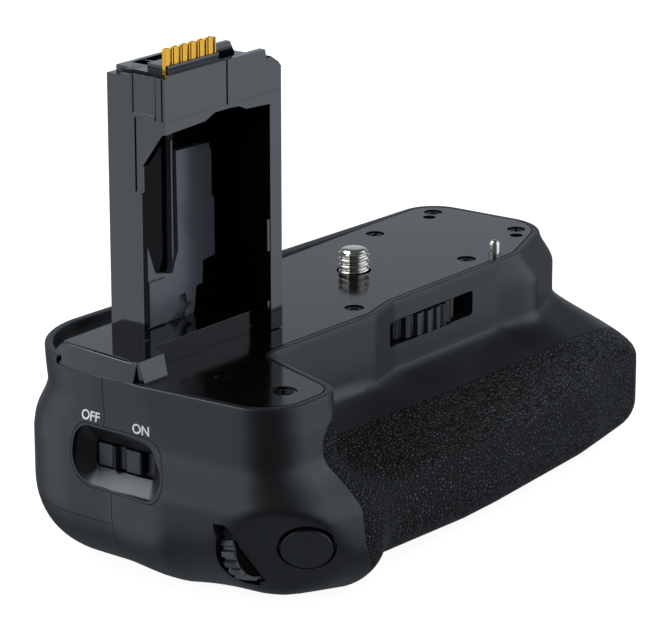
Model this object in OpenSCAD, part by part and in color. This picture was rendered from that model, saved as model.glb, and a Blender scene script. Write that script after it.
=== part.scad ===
// Battery grip for a camera: housing with a lobe at the control end,
// screw and thumbwheel that clamp it under the camera, tower for the camera's battery well,
// magazine for two batteries, release button, dial, on/off switch and three rear buttons.
// Millimetres, +Z up. Origin: axis of the camera screw on the deck.
// +X runs to the magazine end, -X to the control end, -Y to the front.

/* [Batteries] */
// Length of one battery
battery_l = 49.4; // [40:0.2:60]
// Width of one battery
battery_w = 33; // [28:0.2:38]
// Thickness of one battery
battery_h = 14; // [11:0.2:18]
// Free space round a battery in its bay
battery_gap = 0.3; // [0.2:0.05:0.6]

/* [Housing] */
// Screw axis to the magazine end
end_right = 52; // [49:0.2:57]
// Length of the control end beyond the battery bay
control_l = 26.5; // [24:0.2:32]
// Screw axis to the rear wall
rear = 19.4; // [18.4:0.2:22]
// Screw axis to the wall with the thumbwheel
wall = 19.4; // [18.4:0.2:22]
// Screw axis to the front of the lobe at the deck
lobe = 44.3; // [42:0.2:50]
// Screw axis to the crest of the grip
crest = 46.6; // [44:0.2:50]
// Height of the upright wall between the deck and the grip's shelf
shelf = 13.6; // [13:0.2:16]
// Material between the battery bay and the bottom
base_t = 5.6; // [5.4:0.1:8]
// Width of the raised rim round the deck
rim_w = 1.6; // [1.2:0.1:2.4]
// Thickness of the deck plate
deck_t = 1.5; // [1:0.1:2]
// Thickness of the rubber skin
rubber_t = 1.2; // [0.8:0.1:1.8]
// Gap between fitted pieces
fit = 0.1; // [0.05:0.05:0.2]
// Thickness of the bottom cover
cover_t = 1.8; // [1.4:0.1:2.2]
// Height of the feet
foot_h = 0.8; // [0.5:0.1:1.5]
// Diameter of the feet
foot_d = 9; // [6:0.5:10]

/* [Screw and wheel] */
// Camera screw, 1/4 inch
screw_d = 6.35; // [6.3:0.01:6.4]
// Height of the screw above the deck
screw_h = 4.7; // [4:0.1:5.5]
// Thickness of the thumbwheel
wheel_t = 4.6; // [4:0.1:5]
// How far the wheel stands out of its window
wheel_proud = 0.9; // [0.5:0.1:1.5]
// Top of the wheel under the deck
wheel_z = 4.3; // [3.8:0.1:4.6]
// Number of ridges on the wheel
wheel_ridges = 44; // [36:1:72]
// Half width of the window in front of the wheel
window_w = 14.2; // [12:0.1:16]
// Journal under the wheel
journal_d = 8; // [7:0.1:10]
// Running clearance of turning pieces, on the radius
run = 0.05; // [0.03:0.01:0.08]
// Locating pin, diameter
pin_d = 2.3; // [2:0.1:3]
// Locating pin, height above the deck
pin_h = 3.3; // [2.5:0.1:4]

/* [Tower] */
// Width of the tower, the battery's
tower_w = 33.4; // [30:0.2:38]
// Depth of the tower
tower_d = 13.8; // [12.6:0.2:16]
// Top of the open frame above the deck
tower_h = 46.8; // [42:0.2:54]
// Height of the cap on the frame
cap_h = 8.4; // [7:0.2:10]
// Thickness of the flange at the foot
flange_t = 4.2; // [3:0.1:6]
// Wall of the frame
tower_t = 1.7; // [1.4:0.1:2.2]
// Number of contact pins
pin_count = 6; // [4:1:6]
// Height of the pins above their carrier
contact_h = 3.2; // [2.5:0.1:5]
// Length of the pins' carrier
block_l = 16.2; // [15.4:0.2:18]

/* [Magazine] */
// Wall and floor of the tray
tray_t = 1; // [0.8:0.1:1.4]
// Gap between the tray and its bay
tray_gap = 0.25; // [0.2:0.05:0.4]
// End cap of the magazine
end_cap_t = 1.8; // [1.8:0.1:3]
// Knob on the end cap
knob_d = 12; // [10:0.5:14]
// Spindle of the knob
spindle_d = 4; // [3:0.1:5]
// Tongue of the latch, thickness
tongue_t = 1.4; // [1.2:0.1:2]

/* [Controls] */
// Release button
button_d = 9.6; // [8:0.1:10.4]
// Press of the release button
button_press = 1; // [0.6:0.1:1.4]
// Dial, radius
dial_r = 6.5; // [6:0.1:6.8]
// Dial, width
dial_w = 2.8; // [2.2:0.1:3.2]
// Axle of the dial
axle_d = 1.6; // [1.4:0.1:2]
// Travel of the on/off slider
slide_travel = 2.5; // [1.5:0.1:3]
// Length of the slider's knob
slider_l = 10.9; // [9:0.1:11.4]
// Height of the slider's knob
slider_h = 4.5; // [3.8:0.1:4.8]
// Rear buttons, diameter
rear_d = 6; // [5:0.1:7]
// Rear buttons, pitch
rear_pitch = 8.6; // [8.2:0.1:9.4]
// Press of a rear button
rear_press = 0.8; // [0.5:0.1:1]
// Thickness of the circuit boards
board_t = 1.4; // [1:0.1:1.6]

/* [Hidden] */
eps = 0.01;
// Battery bays and the tunnel for the tray
bay_l = battery_l + 2 * battery_gap + 0.9;
bay_w = battery_w + 2 * battery_gap;
tray_w = bay_w + 2 * tray_t;
tray_h = battery_h + battery_gap + tray_t;
tray_l = 2 * bay_l + 3 * tray_t;
latch_l = tongue_t + 0.7;
cap_x = end_right - end_cap_t;
tray_x1 = cap_x - latch_l;
tray_x0 = tray_x1 - tray_l;
tun_x0 = tray_x0 - 0.6;
tun_y1 = rear - 2.4;
tun_y0 = tun_y1 - tray_w - 2 * tray_gap;
tun_z1 = -shelf - 3.5;
tun_z0 = tun_z1 - tray_h - 2 * tray_gap;
mid_y = (tun_y0 + tun_y1) / 2;
tray_z0 = tun_z0 + tray_gap;
tray_z1 = tun_z1 - tray_gap;
body_h = base_t - tun_z0;
// Control end
xl = tun_x0 - control_l;
xr = end_right;
part_y = -6.4;
part_y2 = -9.7;
part_z = -15;
// Release button: centre on the surface and its outward direction
btn = [xl + 9.8, -lobe - 2.2, 12.5 - body_h];
btn_az = 217.9;
btn_el = 114.2;
btn_n = [sin(btn_el) * cos(btn_az), sin(btn_el) * sin(btn_az), cos(btn_el)];
flat_h = 0.2;
flat_soft = 1.6;
button_up = 0.5;
// Dip beside the dial: centre, direction, reach and depth
dip_at = [xl + 1, -29, 4 - body_h];
dip_dir = [0.8, 0, 0.6];
dip_r = 14;
dip_d = 1.7;
// Dial: centre, and lean of its axle
dial = [xl + 7.2, 8.8 - lobe, 11.2 - body_h];
dial_tilt = -10.5;
board_x = dial[0] + 9.4;
// Floor of the room behind the controls
room_z = 8.5 - body_h;
// Switch pocket
sw_y = -11.3;
sw_z = -14.9;
sw_w = 22.8;
sw_h = 11.8;
// Lean of the switch's outline with the wall
sw_lean = 0.2;
sw_back = xl + 4.4;
sw_floor = xl + 3.4;
knob_y = sw_y + 2.35;
slide_z = sw_z - 0.3;
// Wheel
wheel_r = wall + wheel_proud;
shank_r = screw_d / 2 - 0.8;
peg_d = pin_d - 0.8;
bracket = [0.79 * wheel_r, 0.64 * wheel_r];
wheel_z0 = -wheel_z - wheel_t;
br_z1 = wheel_z0 - 0.4;
br_t = 2;
// Rear buttons
rear_x = xl + 23;
rear_z = -10;
rear_face = rear + 1.5;
rear_in = rear - 2.5;
// Tower
tx0 = xl + 12.1;
tx1 = tx0 + tower_w;
ty0 = -12.3;
ty1 = ty0 + tower_d;
tt = tower_h;
block_up = 1.1;
// Deck screws: plan positions
deck_pts = [[xl + 15.6, -lobe + 22], [xl + 15.8, -lobe + 7.9], [-20.2, 3.7 - wall], [23.7, rear - 6.7],
            [xr - 7.4, rear - 6.4], [20.5, 6.2 - wall], [xr - 7.3, -8.6]];
pin_at = [26.1, 3.2 - wall];
// Bottom cover
cov_x0 = tun_x0 - 2;
cov_x1 = end_right - 18;
cov_y0 = 13.6 - crest;
cov_y1 = rear - 9.4;
cov_pts = [[cov_x0 + 15, 5 + cov_y0], [cov_x0 + 7, cov_y1 - 6], [cov_x1 - 6, cov_y1 - 6], [cov_x1 - 6, tun_y0 + 2.4]];
foot_pts = [[xl + 15.4, rear - 12], [cov_x0 + 6.5, cov_y0 + 6.5], [xr - 12, 8], [xr - 12, 16.6 - crest]];
socket_d = 12;
socket_h = base_t - 0.8;

// Housing outline, anticlockwise from above, one row per corner:
// [x, y, round] at the deck, [x, y] at the neck, [x, y, round] at its widest,
// [start, end] of the flare below the deck, round of the bottom edge, points, rise of the rim
form = [
  [[xr - 1.6, rear - 0.2, 8], [xr - 0.6, rear - 0.6], [xr + 0.2, rear + 0.2, 4.5], [9, 16], 6, 5, 0],
  [[xl + 2, rear + 0.2, 21], [xl + 2.2, rear], [xl - 2.2, rear + 2.6, 22], [5, 12], 15, 8, 1.6],
  [[xl, -4, 20], [xl + 0.6, -4], [xl - 1.4, -8, 14], [7, 15], 14, 3, 1.1],
  [[xl + 0.6, -16, 20], [xl + 1, -17], [xl - 2.8, -22, 12], [10, 20], 12.6, 3, 0.5],
  [[xl + 4.8, -lobe, 10], [xl + 4.6, -lobe - 0.5], [xl + 2, -lobe - 4.7, 14], [11, 21], 16, 6, 0],
  [[xl + 22.8, -lobe, 6.5], [xl + 23.2, -lobe - 0.5], [xl + 24, -lobe - 9.3, 9.5], [11, 21], 11.5, 6, 0],
  [[xl + 30.6, -wall - 1.5, 4], [xl + 30.6, -wall - 1.5], [xl + 35.8, -crest + 0.8, 14], [12, 23], 9, 5, 0],
  [[-21, -wall - 2.2, 8], [-21, -wall - 2.2], [-21, -crest, 20], [shelf, shelf + 8.9], 8, 3, 0],
  [[-12, -wall, 8], [-12, -wall], [-10, -crest, 20], [shelf, shelf + 8.9], 8.5, 3, 0],
  [[22, -wall, 8], [22, -wall], [23, -crest + 2.8, 20], [shelf, shelf + 8.9], 8, 3, 0],
  [[30.4, -wall - 0.2, 9], [32, -wall - 3], [33, -crest + 5.4, 20], [shelf - 1, shelf + 9.4], 6.5, 3, 0],
  [[xr, -11.5, 11], [xr + 1.6, -13.8], [xr + 1, -crest + 8.8, 12], [shelf - 0.6, shelf + 7.9], 6.5, 6, 0]
];
// Depths of the sections
depths = [0, 3, 6.5, 9, 11, 12.6, shelf, shelf + 1.2, shelf + 2.4, shelf + 3.6, shelf + 4.8, shelf + 6,
          shelf + 7.4, shelf + 9.4, body_h - 13, body_h - 9, body_h - 6.2, body_h - 4.2, body_h - 2.6,
          body_h - 1.4, body_h - 0.5, body_h];

function unit(v) = v / norm(v);
function left(v) = [-v[1], v[0]];
function lerp(a, b, t) = a + (b - a) * t;
function smooth(t) = let(c = min(max(t, 0), 1)) c * c * (3 - 2 * c);
// Corner of row c at a depth, and the inset of the rounded bottom edge, for a skin of thickness e
function blend(c, z, e) = let(a = smooth(z / 6.5), s = smooth((z - e - c[3][0]) / (c[3][1] - c[3][0])))
  [lerp(lerp(c[0][0], c[1][0], a), c[2][0], s), lerp(lerp(c[0][1], c[1][1], a), c[2][1], s), lerp(c[0][2], c[2][2], s)];
function tuck(c, z, e) = let(r = c[4] - e, h = min(r, c[4] - body_h + z)) e + (h > 0 ? r - sqrt(r * r - h * h) : 0);
function push(a, p, b, d) = let(n0 = left(unit(p - a)), n1 = left(unit(b - p))) p + d * (n0 + n1) / (1 + n0 * n1);
function bends(a, p, b) = left(p - a) * (b - p) > 0 ? 1 : -1;
// Points of one rounded corner
function arc(a, p, b, r, n) =
  let(u = unit(a - p), v = unit(b - p), half = acos(min(max(u * v, -1), 1)) / 2,
      t = min(max(r / tan(half), 0.8), 0.9 * norm(a - p), 0.9 * norm(b - p)), w = sin(half))
  [for (j = [0:n - 1]) let(k = j / (n - 1), q0 = (1 - k) * (1 - k), q1 = 2 * k * (1 - k) * w, q2 = k * k)
    (q0 * (p + u * t) + q1 * p + q2 * (p + v * t)) / (q0 + q1 + q2)];
// Section of the housing at a depth, with a skin of thickness e taken off
function section(z, e = 0) =
  let(n = len(form), c = [for (f = form) blend(f, z, e)], xy = [for (p = c) [p[0], p[1]]],
      d = [for (f = form) tuck(f, z, e)],
      q = [for (i = [0:n - 1]) push(xy[(i + n - 1) % n], xy[i], xy[(i + 1) % n], d[i])])
  [for (i = [0:n - 1]) let(s = bends(xy[(i + n - 1) % n], xy[i], xy[(i + 1) % n]))
    each arc(q[(i + n - 1) % n], q[i], q[(i + 1) % n], max(c[i][2] - s * d[i], 0.5), form[i][5])];
function rises() = [for (f = form) each [for (j = [1:f[5]]) f[6]]];
// Flat round the release button: points that stand beyond it are pushed back, with a soft edge
function flatten(p, e) = let(h = (p - btn) * btn_n + e, k = h - flat_h + flat_soft)
  p - btn_n * (k <= 0 ? 0 : k < 2 * flat_soft ? k * k / (4 * flat_soft) : k - flat_soft);
// Shallow dip beside the dial
function dip(p) = p + dip_dir * dip_d * smooth(1 - norm(p - dip_at) / dip_r);
// Plan outline with rounded corners, from [x, y, round] rows
function plan(c) = let(n = len(c)) [for (i = [0:n - 1]) each arc([c[(i + n - 1) % n][0], c[(i + n - 1) % n][1]],
  [c[i][0], c[i][1]], [c[(i + 1) % n][0], c[(i + 1) % n][1]], c[i][2], 5)];

// The moulded outside, as a solid
module body_form(e = 0) {
  z = [for (d = depths) if (d <= body_h - e) d];
  zz = e > 0 ? concat(z, [body_h - e]) : z;
  up = rises();
  rings = [for (d = zz) section(d, e)];
  n = len(up);
  m = len(zz);
  fade = [for (d = zz) 1 - smooth(d / 4)];
  pts = concat([for (k = [0:m - 1]) each [for (i = [0:n - 1])
    flatten(dip([rings[k][i][0], rings[k][i][1], up[i] * fade[k] - zz[k]]), e)]], [[xl + 18.8, -15, 0]]);
  polyhedron(points = pts, convexity = 6, faces = concat(
    [for (i = [0:n - 1]) [m * n, (i + 1) % n, i]],
    [for (k = [0:m - 2]) each [for (i = [0:n - 1]) each [
      [k * n + i, k * n + (i + 1) % n, (k + 1) * n + i],
      [k * n + (i + 1) % n, (k + 1) * n + (i + 1) % n, (k + 1) * n + i]]]],
    [[for (i = [0:n - 1]) (m - 1) * n + i]]));
}

// Box between two corners
module box(a, b) {
  translate(a) cube(b - a);
}

// Round bar along Y or X
module bar_y(d, y0, y1) {
  translate([0, y1, 0]) rotate([90, 0, 0]) cylinder(d = d, h = y1 - y0, $fn = 48);
}
module bar_x(d, x0, x1) {
  translate([x0, 0, 0]) rotate([0, 90, 0]) cylinder(d = d, h = x1 - x0, $fn = 48);
}

// Rounded bar, long way along Y, thickness along X
module slab_x(y, z, w, h, r, x0, x1) {
  translate([x0, y, z]) rotate([90, 0, 90]) linear_extrude(x1 - x0)
    polygon(plan([[-w / 2, -h / 2, r], [w / 2, -h / 2, r], [w / 2, h / 2, r], [-w / 2, h / 2, r]]));
}

// Outline of the switch pocket, with a gap, between two planes
module pocket(x0, x1, gap = 0) {
  translate([x0, sw_y, sw_z]) rotate([90, 0, 90]) linear_extrude(x1 - x0) offset(delta = gap)
    polygon(plan([[sw_w / 2, sw_h / 2, 2.6], [sw_w / 2 - 0.1, -sw_h / 2, 5.4],
                  [-sw_w / 2 - 1.4, 0.5 - sw_h / 2, 3], [4.4 - sw_w / 2, sw_h / 2 - 0.4, 4.6]]));
}

// Deck area inside the rim
module deck_area(z0, z1, gap = 0) {
  translate([0, 0, z0]) linear_extrude(z1 - z0) polygon(inner_deck(rim_w + gap));
}
function inner_deck(d) =
  let(n = len(form), xy = [for (f = form) [f[0][0], f[0][1]]],
      q = [for (i = [0:n - 1]) push(xy[(i + n - 1) % n], xy[i], xy[(i + 1) % n], d)])
  [for (i = [0:n - 1]) let(s = bends(xy[(i + n - 1) % n], xy[i], xy[(i + 1) % n]))
    each arc(q[(i + n - 1) % n], q[i], q[(i + 1) % n], max(form[i][0][2] - s * d, 0.5), form[i][5])];

// Places
module at_button() {
  translate(btn) rotate([0, btn_el, btn_az]) children();
}
module at_dial() {
  translate(dial) rotate([dial_tilt, 0, 0]) children();
}
module front_half() {
  box([xl - 20, -lobe - 40, part_z], [xr + 20, part_y, 20]);
  box([xl - 20, -lobe - 40, -body_h - 10], [xr + 20, part_y2, part_z]);
}
module rear_half() {
  box([xl - 20, part_y, part_z], [xr + 20, rear + 30, 20]);
  box([xl - 20, part_y2, -body_h - 10], [xr + 20, rear + 30, part_z]);
}
// Region of the front covered by rubber, seen from the front
module rubber_zone() {
  translate([0, -crest + 16.6, 0]) rotate([90, 0, 0]) linear_extrude(40)
    polygon([[xl + 23.8, -2.6], [xl + 20.3, -4], [xl + 17.6, -6.6], [xl + 16.8, -9.5], [xl + 18.3, -15],
             [xl + 18.8, -21], [xl + 19.8, -27], [xl + 22.4, -32], [xl + 25.4, rubber_t + 0.2 - body_h],
             [xr + 10, rubber_t + 0.2 - body_h], [xr + 10, -2.6]]);
}

// Room inside the housing
module control_room() {
  translate([0, 0, room_z]) linear_extrude(-6 - room_z) polygon([[xl + 5, 5], [xl + 5, -22], [xl + 7, 9.5 - lobe],
    [xl + 12, 4.3 - lobe], [xl + 18.6, 4.3 - lobe], [xl + 23, -28], [tun_x0 - 2, -22], [tun_x0 - 2, 5]]);
}
module battery_room() {
  box([tun_x0, tun_y0, tun_z0], [xr + 10, tun_y1, tun_z1]);
  box([tun_x0 - 2 - eps, mid_y - 6, tun_z0 + 2.8], [tun_x0 + eps, mid_y + 6, tun_z0 + 11]);
  box([tray_x1 + 0.2, mid_y - 2.6, tun_z1 - 1], [cap_x, mid_y + 10.4, tun_z1 + 4.8]);
}
module wheel_room() {
  translate([0, 0, wheel_z0 - 0.3]) cylinder(r = wheel_r + 0.5, h = wheel_t + 0.6, $fn = 96);
  box([-window_w, -wall - 6, wheel_z0 - 0.2], [window_w, -wall + 8, -wheel_z + 0.3]);
  box([-9, rear - 6, wheel_z0 - 0.2], [9, rear + 6, -wheel_z + 0.3]);
  translate([0, 0, -wheel_z - 1]) cylinder(d = screw_d + 0.7, h = 10, $fn = 48);
  box([-bracket[0] - fit, -bracket[1] - fit, br_z1 - br_t - 0.4], [bracket[0] + fit, bracket[1] + fit, wheel_z0]);
}
module grip_room() {
  box([xl + 42, cov_y0 + 1, cover_t - body_h - eps], [cov_x1 - 2, tun_y0 - 2.2, -shelf - 8]);
}
module cover_area(z0, z1, gap = 0) {
  translate([0, 0, z0]) linear_extrude(z1 - z0) polygon(plan([[cov_x0 - gap, cov_y0 - gap, 4],
    [cov_x1 + gap, cov_y0 - gap, 4], [cov_x1 + gap, cov_y1 + gap, 4], [cov_x0 - gap, cov_y1 + gap, 4]]));
}
module button_room() {
  at_button() translate([0, 0, -6.6]) cylinder(d = button_d + 1.3, h = 16, $fn = 64);
  at_button() translate([0, 0, -10.4]) cylinder(d = 7.2, h = 5, $fn = 48);
}
module dial_room() {
  at_dial() bar_y(2 * dial_r + 1.2, -dial_w / 2 - 0.4, dial_w / 2 + 0.4);
  translate([xl - 12, dial[1], dial[2]]) rotate([90, 0, 90]) linear_extrude(21) polygon([[2.2, 5.9], [0, 6],
    [-1.6, 4.4], [-1.6, 1.2], [-1.8, -1.7], [-2.2, -4.5], [-2, -7.7], [0.4, -7.1], [2.3, -5.8], [3, -3.3], [2.7, -0.8],
    [2.1, 1.6], [1.7, 3.3]]);
  at_dial() box([-3.4, -dial_w / 2 - 2.6, -3.4], [11, dial_w / 2 + 2.6, 3.4]);
}
module rear_room() {
  box([rear_x - 6, rear_in - 6, rear_z - 4.5], [rear_x + 2 * rear_pitch + 6, rear_in, rear_z + 4.5]);
  for (i = [0:2]) translate([rear_x + i * rear_pitch, 0, rear_z]) bar_y(rear_d + 0.3, rear_in - 1, rear_face + 8);
}
module fixings() {
  for (p = deck_pts) translate([p[0], p[1], -6.2]) cylinder(d = 2, h = 7, $fn = 24);
  translate([pin_at[0], pin_at[1], -5]) cylinder(d = peg_d + 0.04, h = 6, $fn = 32);
  for (p = cov_pts) translate([p[0], p[1], -body_h - 1]) cylinder(d = 2, h = 5.2, $fn = 24);
  translate([0, 0, -body_h - 1]) cylinder(d = socket_d + 2 * fit, h = socket_h + 1, $fn = 64);
}
module rooms() {
  deck_area(-deck_t, 10);
  control_room();
  battery_room();
  wheel_room();
  grip_room();
  cover_area(-body_h - 5, cover_t - body_h, fit);
  button_room();
  dial_room();
  rear_room();
  fixings();
  pocket(xl - 12, xl + 6, fit);
  linear_extrude(flange_t + 5) offset(delta = fit) polygon(base_plan());
}

module front_shell() color("#23272b") {
  difference() {
    intersection() {
      body_form();
      front_half();
    }
    rooms();
    difference() {
      rubber_zone();
      body_form(rubber_t + 0.05);
    }
  }
}

module rear_shell() color("#23272b") {
  difference() {
    intersection() {
      body_form();
      rear_half();
    }
    rooms();
  }
}

module rubber_grip() color("#16181a") {
  difference() {
    intersection() {
      body_form();
      rubber_zone();
    }
    body_form(rubber_t);
    button_room();
  }
}

module deck_plate() color("#505052") {
  difference() {
    deck_area(-deck_t, 0, fit);
    translate([0, 0, -5]) cylinder(d = screw_d + 0.7, h = 10, $fn = 48);
    translate([pin_at[0], pin_at[1], -5]) cylinder(d = peg_d + 0.04, h = 10, $fn = 32);
    for (p = deck_pts) translate([p[0], p[1], -5]) cylinder(d = 2, h = 10, $fn = 24);
    for (p = deck_pts) translate([p[0], p[1], -0.9]) cylinder(d = 3.9, h = 5, $fn = 32);
  }
}

module deck_screws() color("#2b2b2d") {
  for (p = deck_pts) translate([p[0], p[1], 0]) {
    translate([0, 0, -0.9]) cylinder(d = 3.7, h = 0.75, $fn = 32);
    translate([0, 0, -5.6]) cylinder(d = 1.9, h = 5, $fn = 24);
  }
}

module locating_pin() color("#c9c9c4") {
  translate([pin_at[0], pin_at[1], 0]) rotate_extrude($fn = 32)
    polygon([[0, -4.6], [peg_d / 2, -4.6], [peg_d / 2, 0], [pin_d / 2, 0], [pin_d / 2, pin_h - 0.7],
      [pin_d / 2 - 0.6, pin_h], [0, pin_h]]);
}

module attach_screw() color("#c9c9c4") {
  rotate_extrude($fn = 64) polygon([[0, wheel_z0 - 1.5], [shank_r, wheel_z0 - 1.5], [shank_r, 0], [screw_d / 2, 0],
    [screw_d / 2, screw_h - 1], [screw_d / 2 - 0.8, screw_h - 0.2], [screw_d / 2 - 1.6, screw_h], [0, screw_h]]);
}

module thumbwheel() color("#1c1f22") {
  n = wheel_ridges;
  difference() {
    union() {
      translate([0, 0, wheel_z0]) linear_extrude(wheel_t) polygon([for (i = [0:n - 1]) each [
        for (k = [[0.06, 0.6], [0.3, 0], [0.7, 0], [0.94, 0.6]]) let(a = 360 * (i + k[0]) / n)
          (wheel_r - k[1]) * [cos(a), sin(a)]]]);
      translate([0, 0, br_z1 - br_t]) cylinder(d = journal_d, h = br_t + 1, $fn = 64);
    }
    translate([0, 0, wheel_z0 - 1.6]) cylinder(r = shank_r + 0.02, h = 20, $fn = 64);
    translate([0, 0, -wheel_z - 1.2]) difference() {
      cylinder(r = wheel_r - 2.4, h = 5, $fn = 72);
      translate([0, 0, -1]) cylinder(r = 6, h = 8, $fn = 48);
    }
  }
}

module wheel_bracket() color("#8a8c8e") {
  difference() {
    box([-bracket[0], -bracket[1], br_z1 - br_t], [bracket[0], bracket[1], br_z1]);
    translate([0, 0, br_z1 - 5]) cylinder(d = journal_d + 2 * run, h = 10, $fn = 64);
  }
}

module bottom_cover() color("#202326") {
  difference() {
    cover_area(-body_h, cover_t - body_h);
    translate([0, 0, -body_h - 1]) cylinder(d = socket_d + 2 * fit, h = 5, $fn = 64);
    for (p = cov_pts) translate([p[0], p[1], -body_h - 1]) cylinder(d = 2, h = 5, $fn = 24);
    for (p = cov_pts) translate([p[0], p[1], -body_h - 1]) cylinder(d = 4.2, h = 2, $fn = 32);
  }
}

module cover_screws() color("#2b2b2d") {
  for (p = cov_pts) translate([p[0], p[1], -body_h]) {
    translate([0, 0, 0.2]) cylinder(d = 4, h = 0.8, $fn = 32);
    translate([0, 0, 0.2]) cylinder(d = 1.9, h = 3.8, $fn = 24);
  }
}

module tripod_socket() color("#b9b9b4") {
  translate([0, 0, -body_h]) difference() {
    cylinder(d = socket_d, h = socket_h, $fn = 64);
    translate([0, 0, -1]) cylinder(d = screw_d, h = socket_h + 2, $fn = 64);
  }
}

module rubber_feet() color("#141516") {
  for (p = foot_pts) translate([p[0], p[1], -body_h - foot_h]) cylinder(d = foot_d, h = foot_h, $fn = 48);
}

function base_plan() = [[xl + 3.8, 6], [xl + 2.8, -8], [xl + 2.4, -11], [xl + 1.9, -12.4],
  [xl + 2.4, -15], [xl + 8.8, -15], [tx0 - 1.2, -9.6], [tx1, -9.6], [tx1, ty1 + 3.4], [xl + 18, ty1 + 4.5]];
module tower_base() color("#1a1c1e") {
  difference() {
    linear_extrude(flange_t) polygon(base_plan());
    translate([xl, 0, 0]) rotate([90, 0, 90]) linear_extrude(14)
      polygon([[-20, flange_t + 1], [-13.3, flange_t + 1], [-14.9, 0.5], [-20, 0.5]]);
  }
}

module tower_frame() color("#17191b") {
  difference() {
    box([tx0, ty0, flange_t], [tx1, ty1, tt]);
    box([tx0 + tower_t, ty0 - 5, flange_t - 1], [tx1 - 2 * tower_t, ty1 - tower_t, tt - 0.8]);
    translate([tx0 - 5, 0, 0]) rotate([90, 0, 90]) linear_extrude(5 + tower_t + eps)
      polygon([[ty0 - 5, flange_t - 1], [ty0 + 6.1, flange_t - 1], [ty0 + 6.1, tt - 14.4], [ty0 + 5.5, tt - 14],
               [ty0 + 5.5, tt - 9], [ty0 + 0.6, tt - 2.4], [ty0 - 5, tt - 2.4]]);
    box([tx0 - 1, ty0 + 6.9, tt - 14], [tx0 + 0.4, ty0 + 7.3, tt + 1]);
  }
  translate([tx0, ty0 + tower_t, 0]) rotate([90, 0, 0]) linear_extrude(tower_t) polygon([[0, tt - 0.5], [0, tt - 2.4],
    [0.34 * tower_w, tt - 1.9], [0.42 * tower_w, tt - 0.8], [0.55 * tower_w, tt - 0.8], [0.63 * tower_w, tt - 1],
    [0.69 * tower_w, tt - 1.9], [tower_w - tower_t, tt - 2.4], [tower_w - tower_t, tt - 0.5]]);
  box([tx1 - 2 * tower_t, ty0, 0.2], [tx1, -9.8, flange_t + 1]);
}

module tower_liner() color("#3a3d40") {
  w = tower_w - 7.4;
  translate([tx0, ty1 - tower_t, 0]) rotate([90, 0, 0]) linear_extrude(1.6)
    polygon([[tower_t, flange_t], [w - 6.4, flange_t], [w - 6, flange_t + 1.4], [w - 5.5, flange_t + 5.1],
             [w - 3.7, flange_t + 5.3], [w - 3.5, flange_t + 9.7], [w, flange_t + 10.1], [w, tt - 21.4],
             [w - 0.7, tt - 20.6], [w - 0.7, tt - 12], [w - 1.5, tt - 10.3], [w - 10.9, tt - 10], [w - 10.6, flange_t + 13.4],
             [w - 12.4, flange_t + 9.2], [w - 17.2, flange_t + 10.3], [w - 19.9, flange_t + 17.4], [tower_t, flange_t + 17.4]]);
  translate([tx0, ty1 - tower_t - 1.6, 0]) box([w - 19.5, -0.5, flange_t + 0.3], [w - 14.7, 0.1, flange_t + 9]);
  translate([tx0, ty1 - tower_t, 0]) box([w - 11.9, -1.2, flange_t + 10.4], [w - 11.5, 0, tt - 7.9]);
}

module door_clip() color("#101112") {
  x = tx1 - 2 * tower_t;
  box([x - 0.9, ty0 + 0.1, flange_t + 11.6], [x, ty0 + 3, flange_t + 18]);
  box([x - 0.8, ty0 + 0.2, flange_t], [x, ty0 + 2.2, flange_t + 1.9]);
}

module tower_cap() color("#17191b") {
  top = tt + cap_h;
  difference() {
    translate([tx0, ty1, 0]) rotate([90, 0, 0]) linear_extrude(tower_d) polygon([[0, tt], [tower_w, tt],
      [tower_w, top - 3.9], [tower_w - 0.8, top - 3], [tower_w - 3, top - 1.6], [tower_w - 4.2, top - 1.9],
      [tower_w - 4.7, top], [1.6, top], [0, top - 0.5]]);
    box([tx0 + 1.4, ty0 + 0.9, top - 4.4], [tx0 + block_l + 1.6, ty0 + 8.6, top + 1]);
    box([tx0 + 5.6, ty0 + 1.4, top - 1.9], [tx1 + 1, ty1 - 1.1, top + 1]);
    box([tx0 + block_l + 1.2, ty0 - 1, tt - 1], [tx0 + block_l + 1.6, ty0 + 0.4, top + 1]);
    box([tx0 - 1, ty0 + 2.1, tt - 1], [tx0 + 0.3, ty0 + 2.4, top + 1]);
    box([tx0 - 1, ty0 + 0.5, tt - 1], [tx0 + 0.3, ty0 + 0.8, top + 1]);
    box([tx0 - 1, ty0 + 2.3, tt + 0.8], [tx0 + 0.2, ty0 + 7.7, top + 1]);
    box([tx0 - 1, ty1 - 3.2, top - 1], [tx0 + 2.6, ty1 + 1, top + 1]);
  }
  box([tx0 + 9.2, ty0 + 9, top - 2], [tx0 + 9.8, ty1 - 1, top - 0.3]);
  translate([tx0 + block_l + 1.6, ty0 + 4.6, top - 2]) rotate([90, 0, 0]) linear_extrude(1.1)
    polygon([[0, 0], [6.2, 0], [6.2, 1.9], [4.9, 4.2], [0, 4.2]]);
}

module contact_block() color("#0e0f10") {
  difference() {
    union() {
      box([tx0 + 1.5, ty0 + 1, tt + cap_h - 4.3], [tx0 + block_l + 1.5, ty0 + 8.5, tt + cap_h]);
      box([tx0 + 3.4, ty0 + 2, tt + cap_h - 1], [tx0 + block_l + 1.5, ty0 + 6.9, tt + cap_h + block_up]);
    }
    for (i = [0:pin_count - 1]) translate(pin_spot(i)) box([-1.2, -0.5, -3.2], [1.2, 0.5, 2]);
  }
}
function pin_spot(i) = [tx0 + 10.2 + (i - (pin_count - 1) / 2) * (block_l - 1.7) / pin_count, ty0 + 2.7, tt + cap_h + block_up];

module contact_pins() color("#c8a24a") {
  for (i = [0:pin_count - 1]) translate(pin_spot(i)) {
    box([-1.1, -0.4, -3.1], [1.1, 0.4, -1]);
    box([-1.1, -0.4, -1.1], [0.2, 0.4, contact_h]);
    box([0.7, -0.4, -1.1], [1.1, 0.4, contact_h - 0.2]);
  }
}

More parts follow.
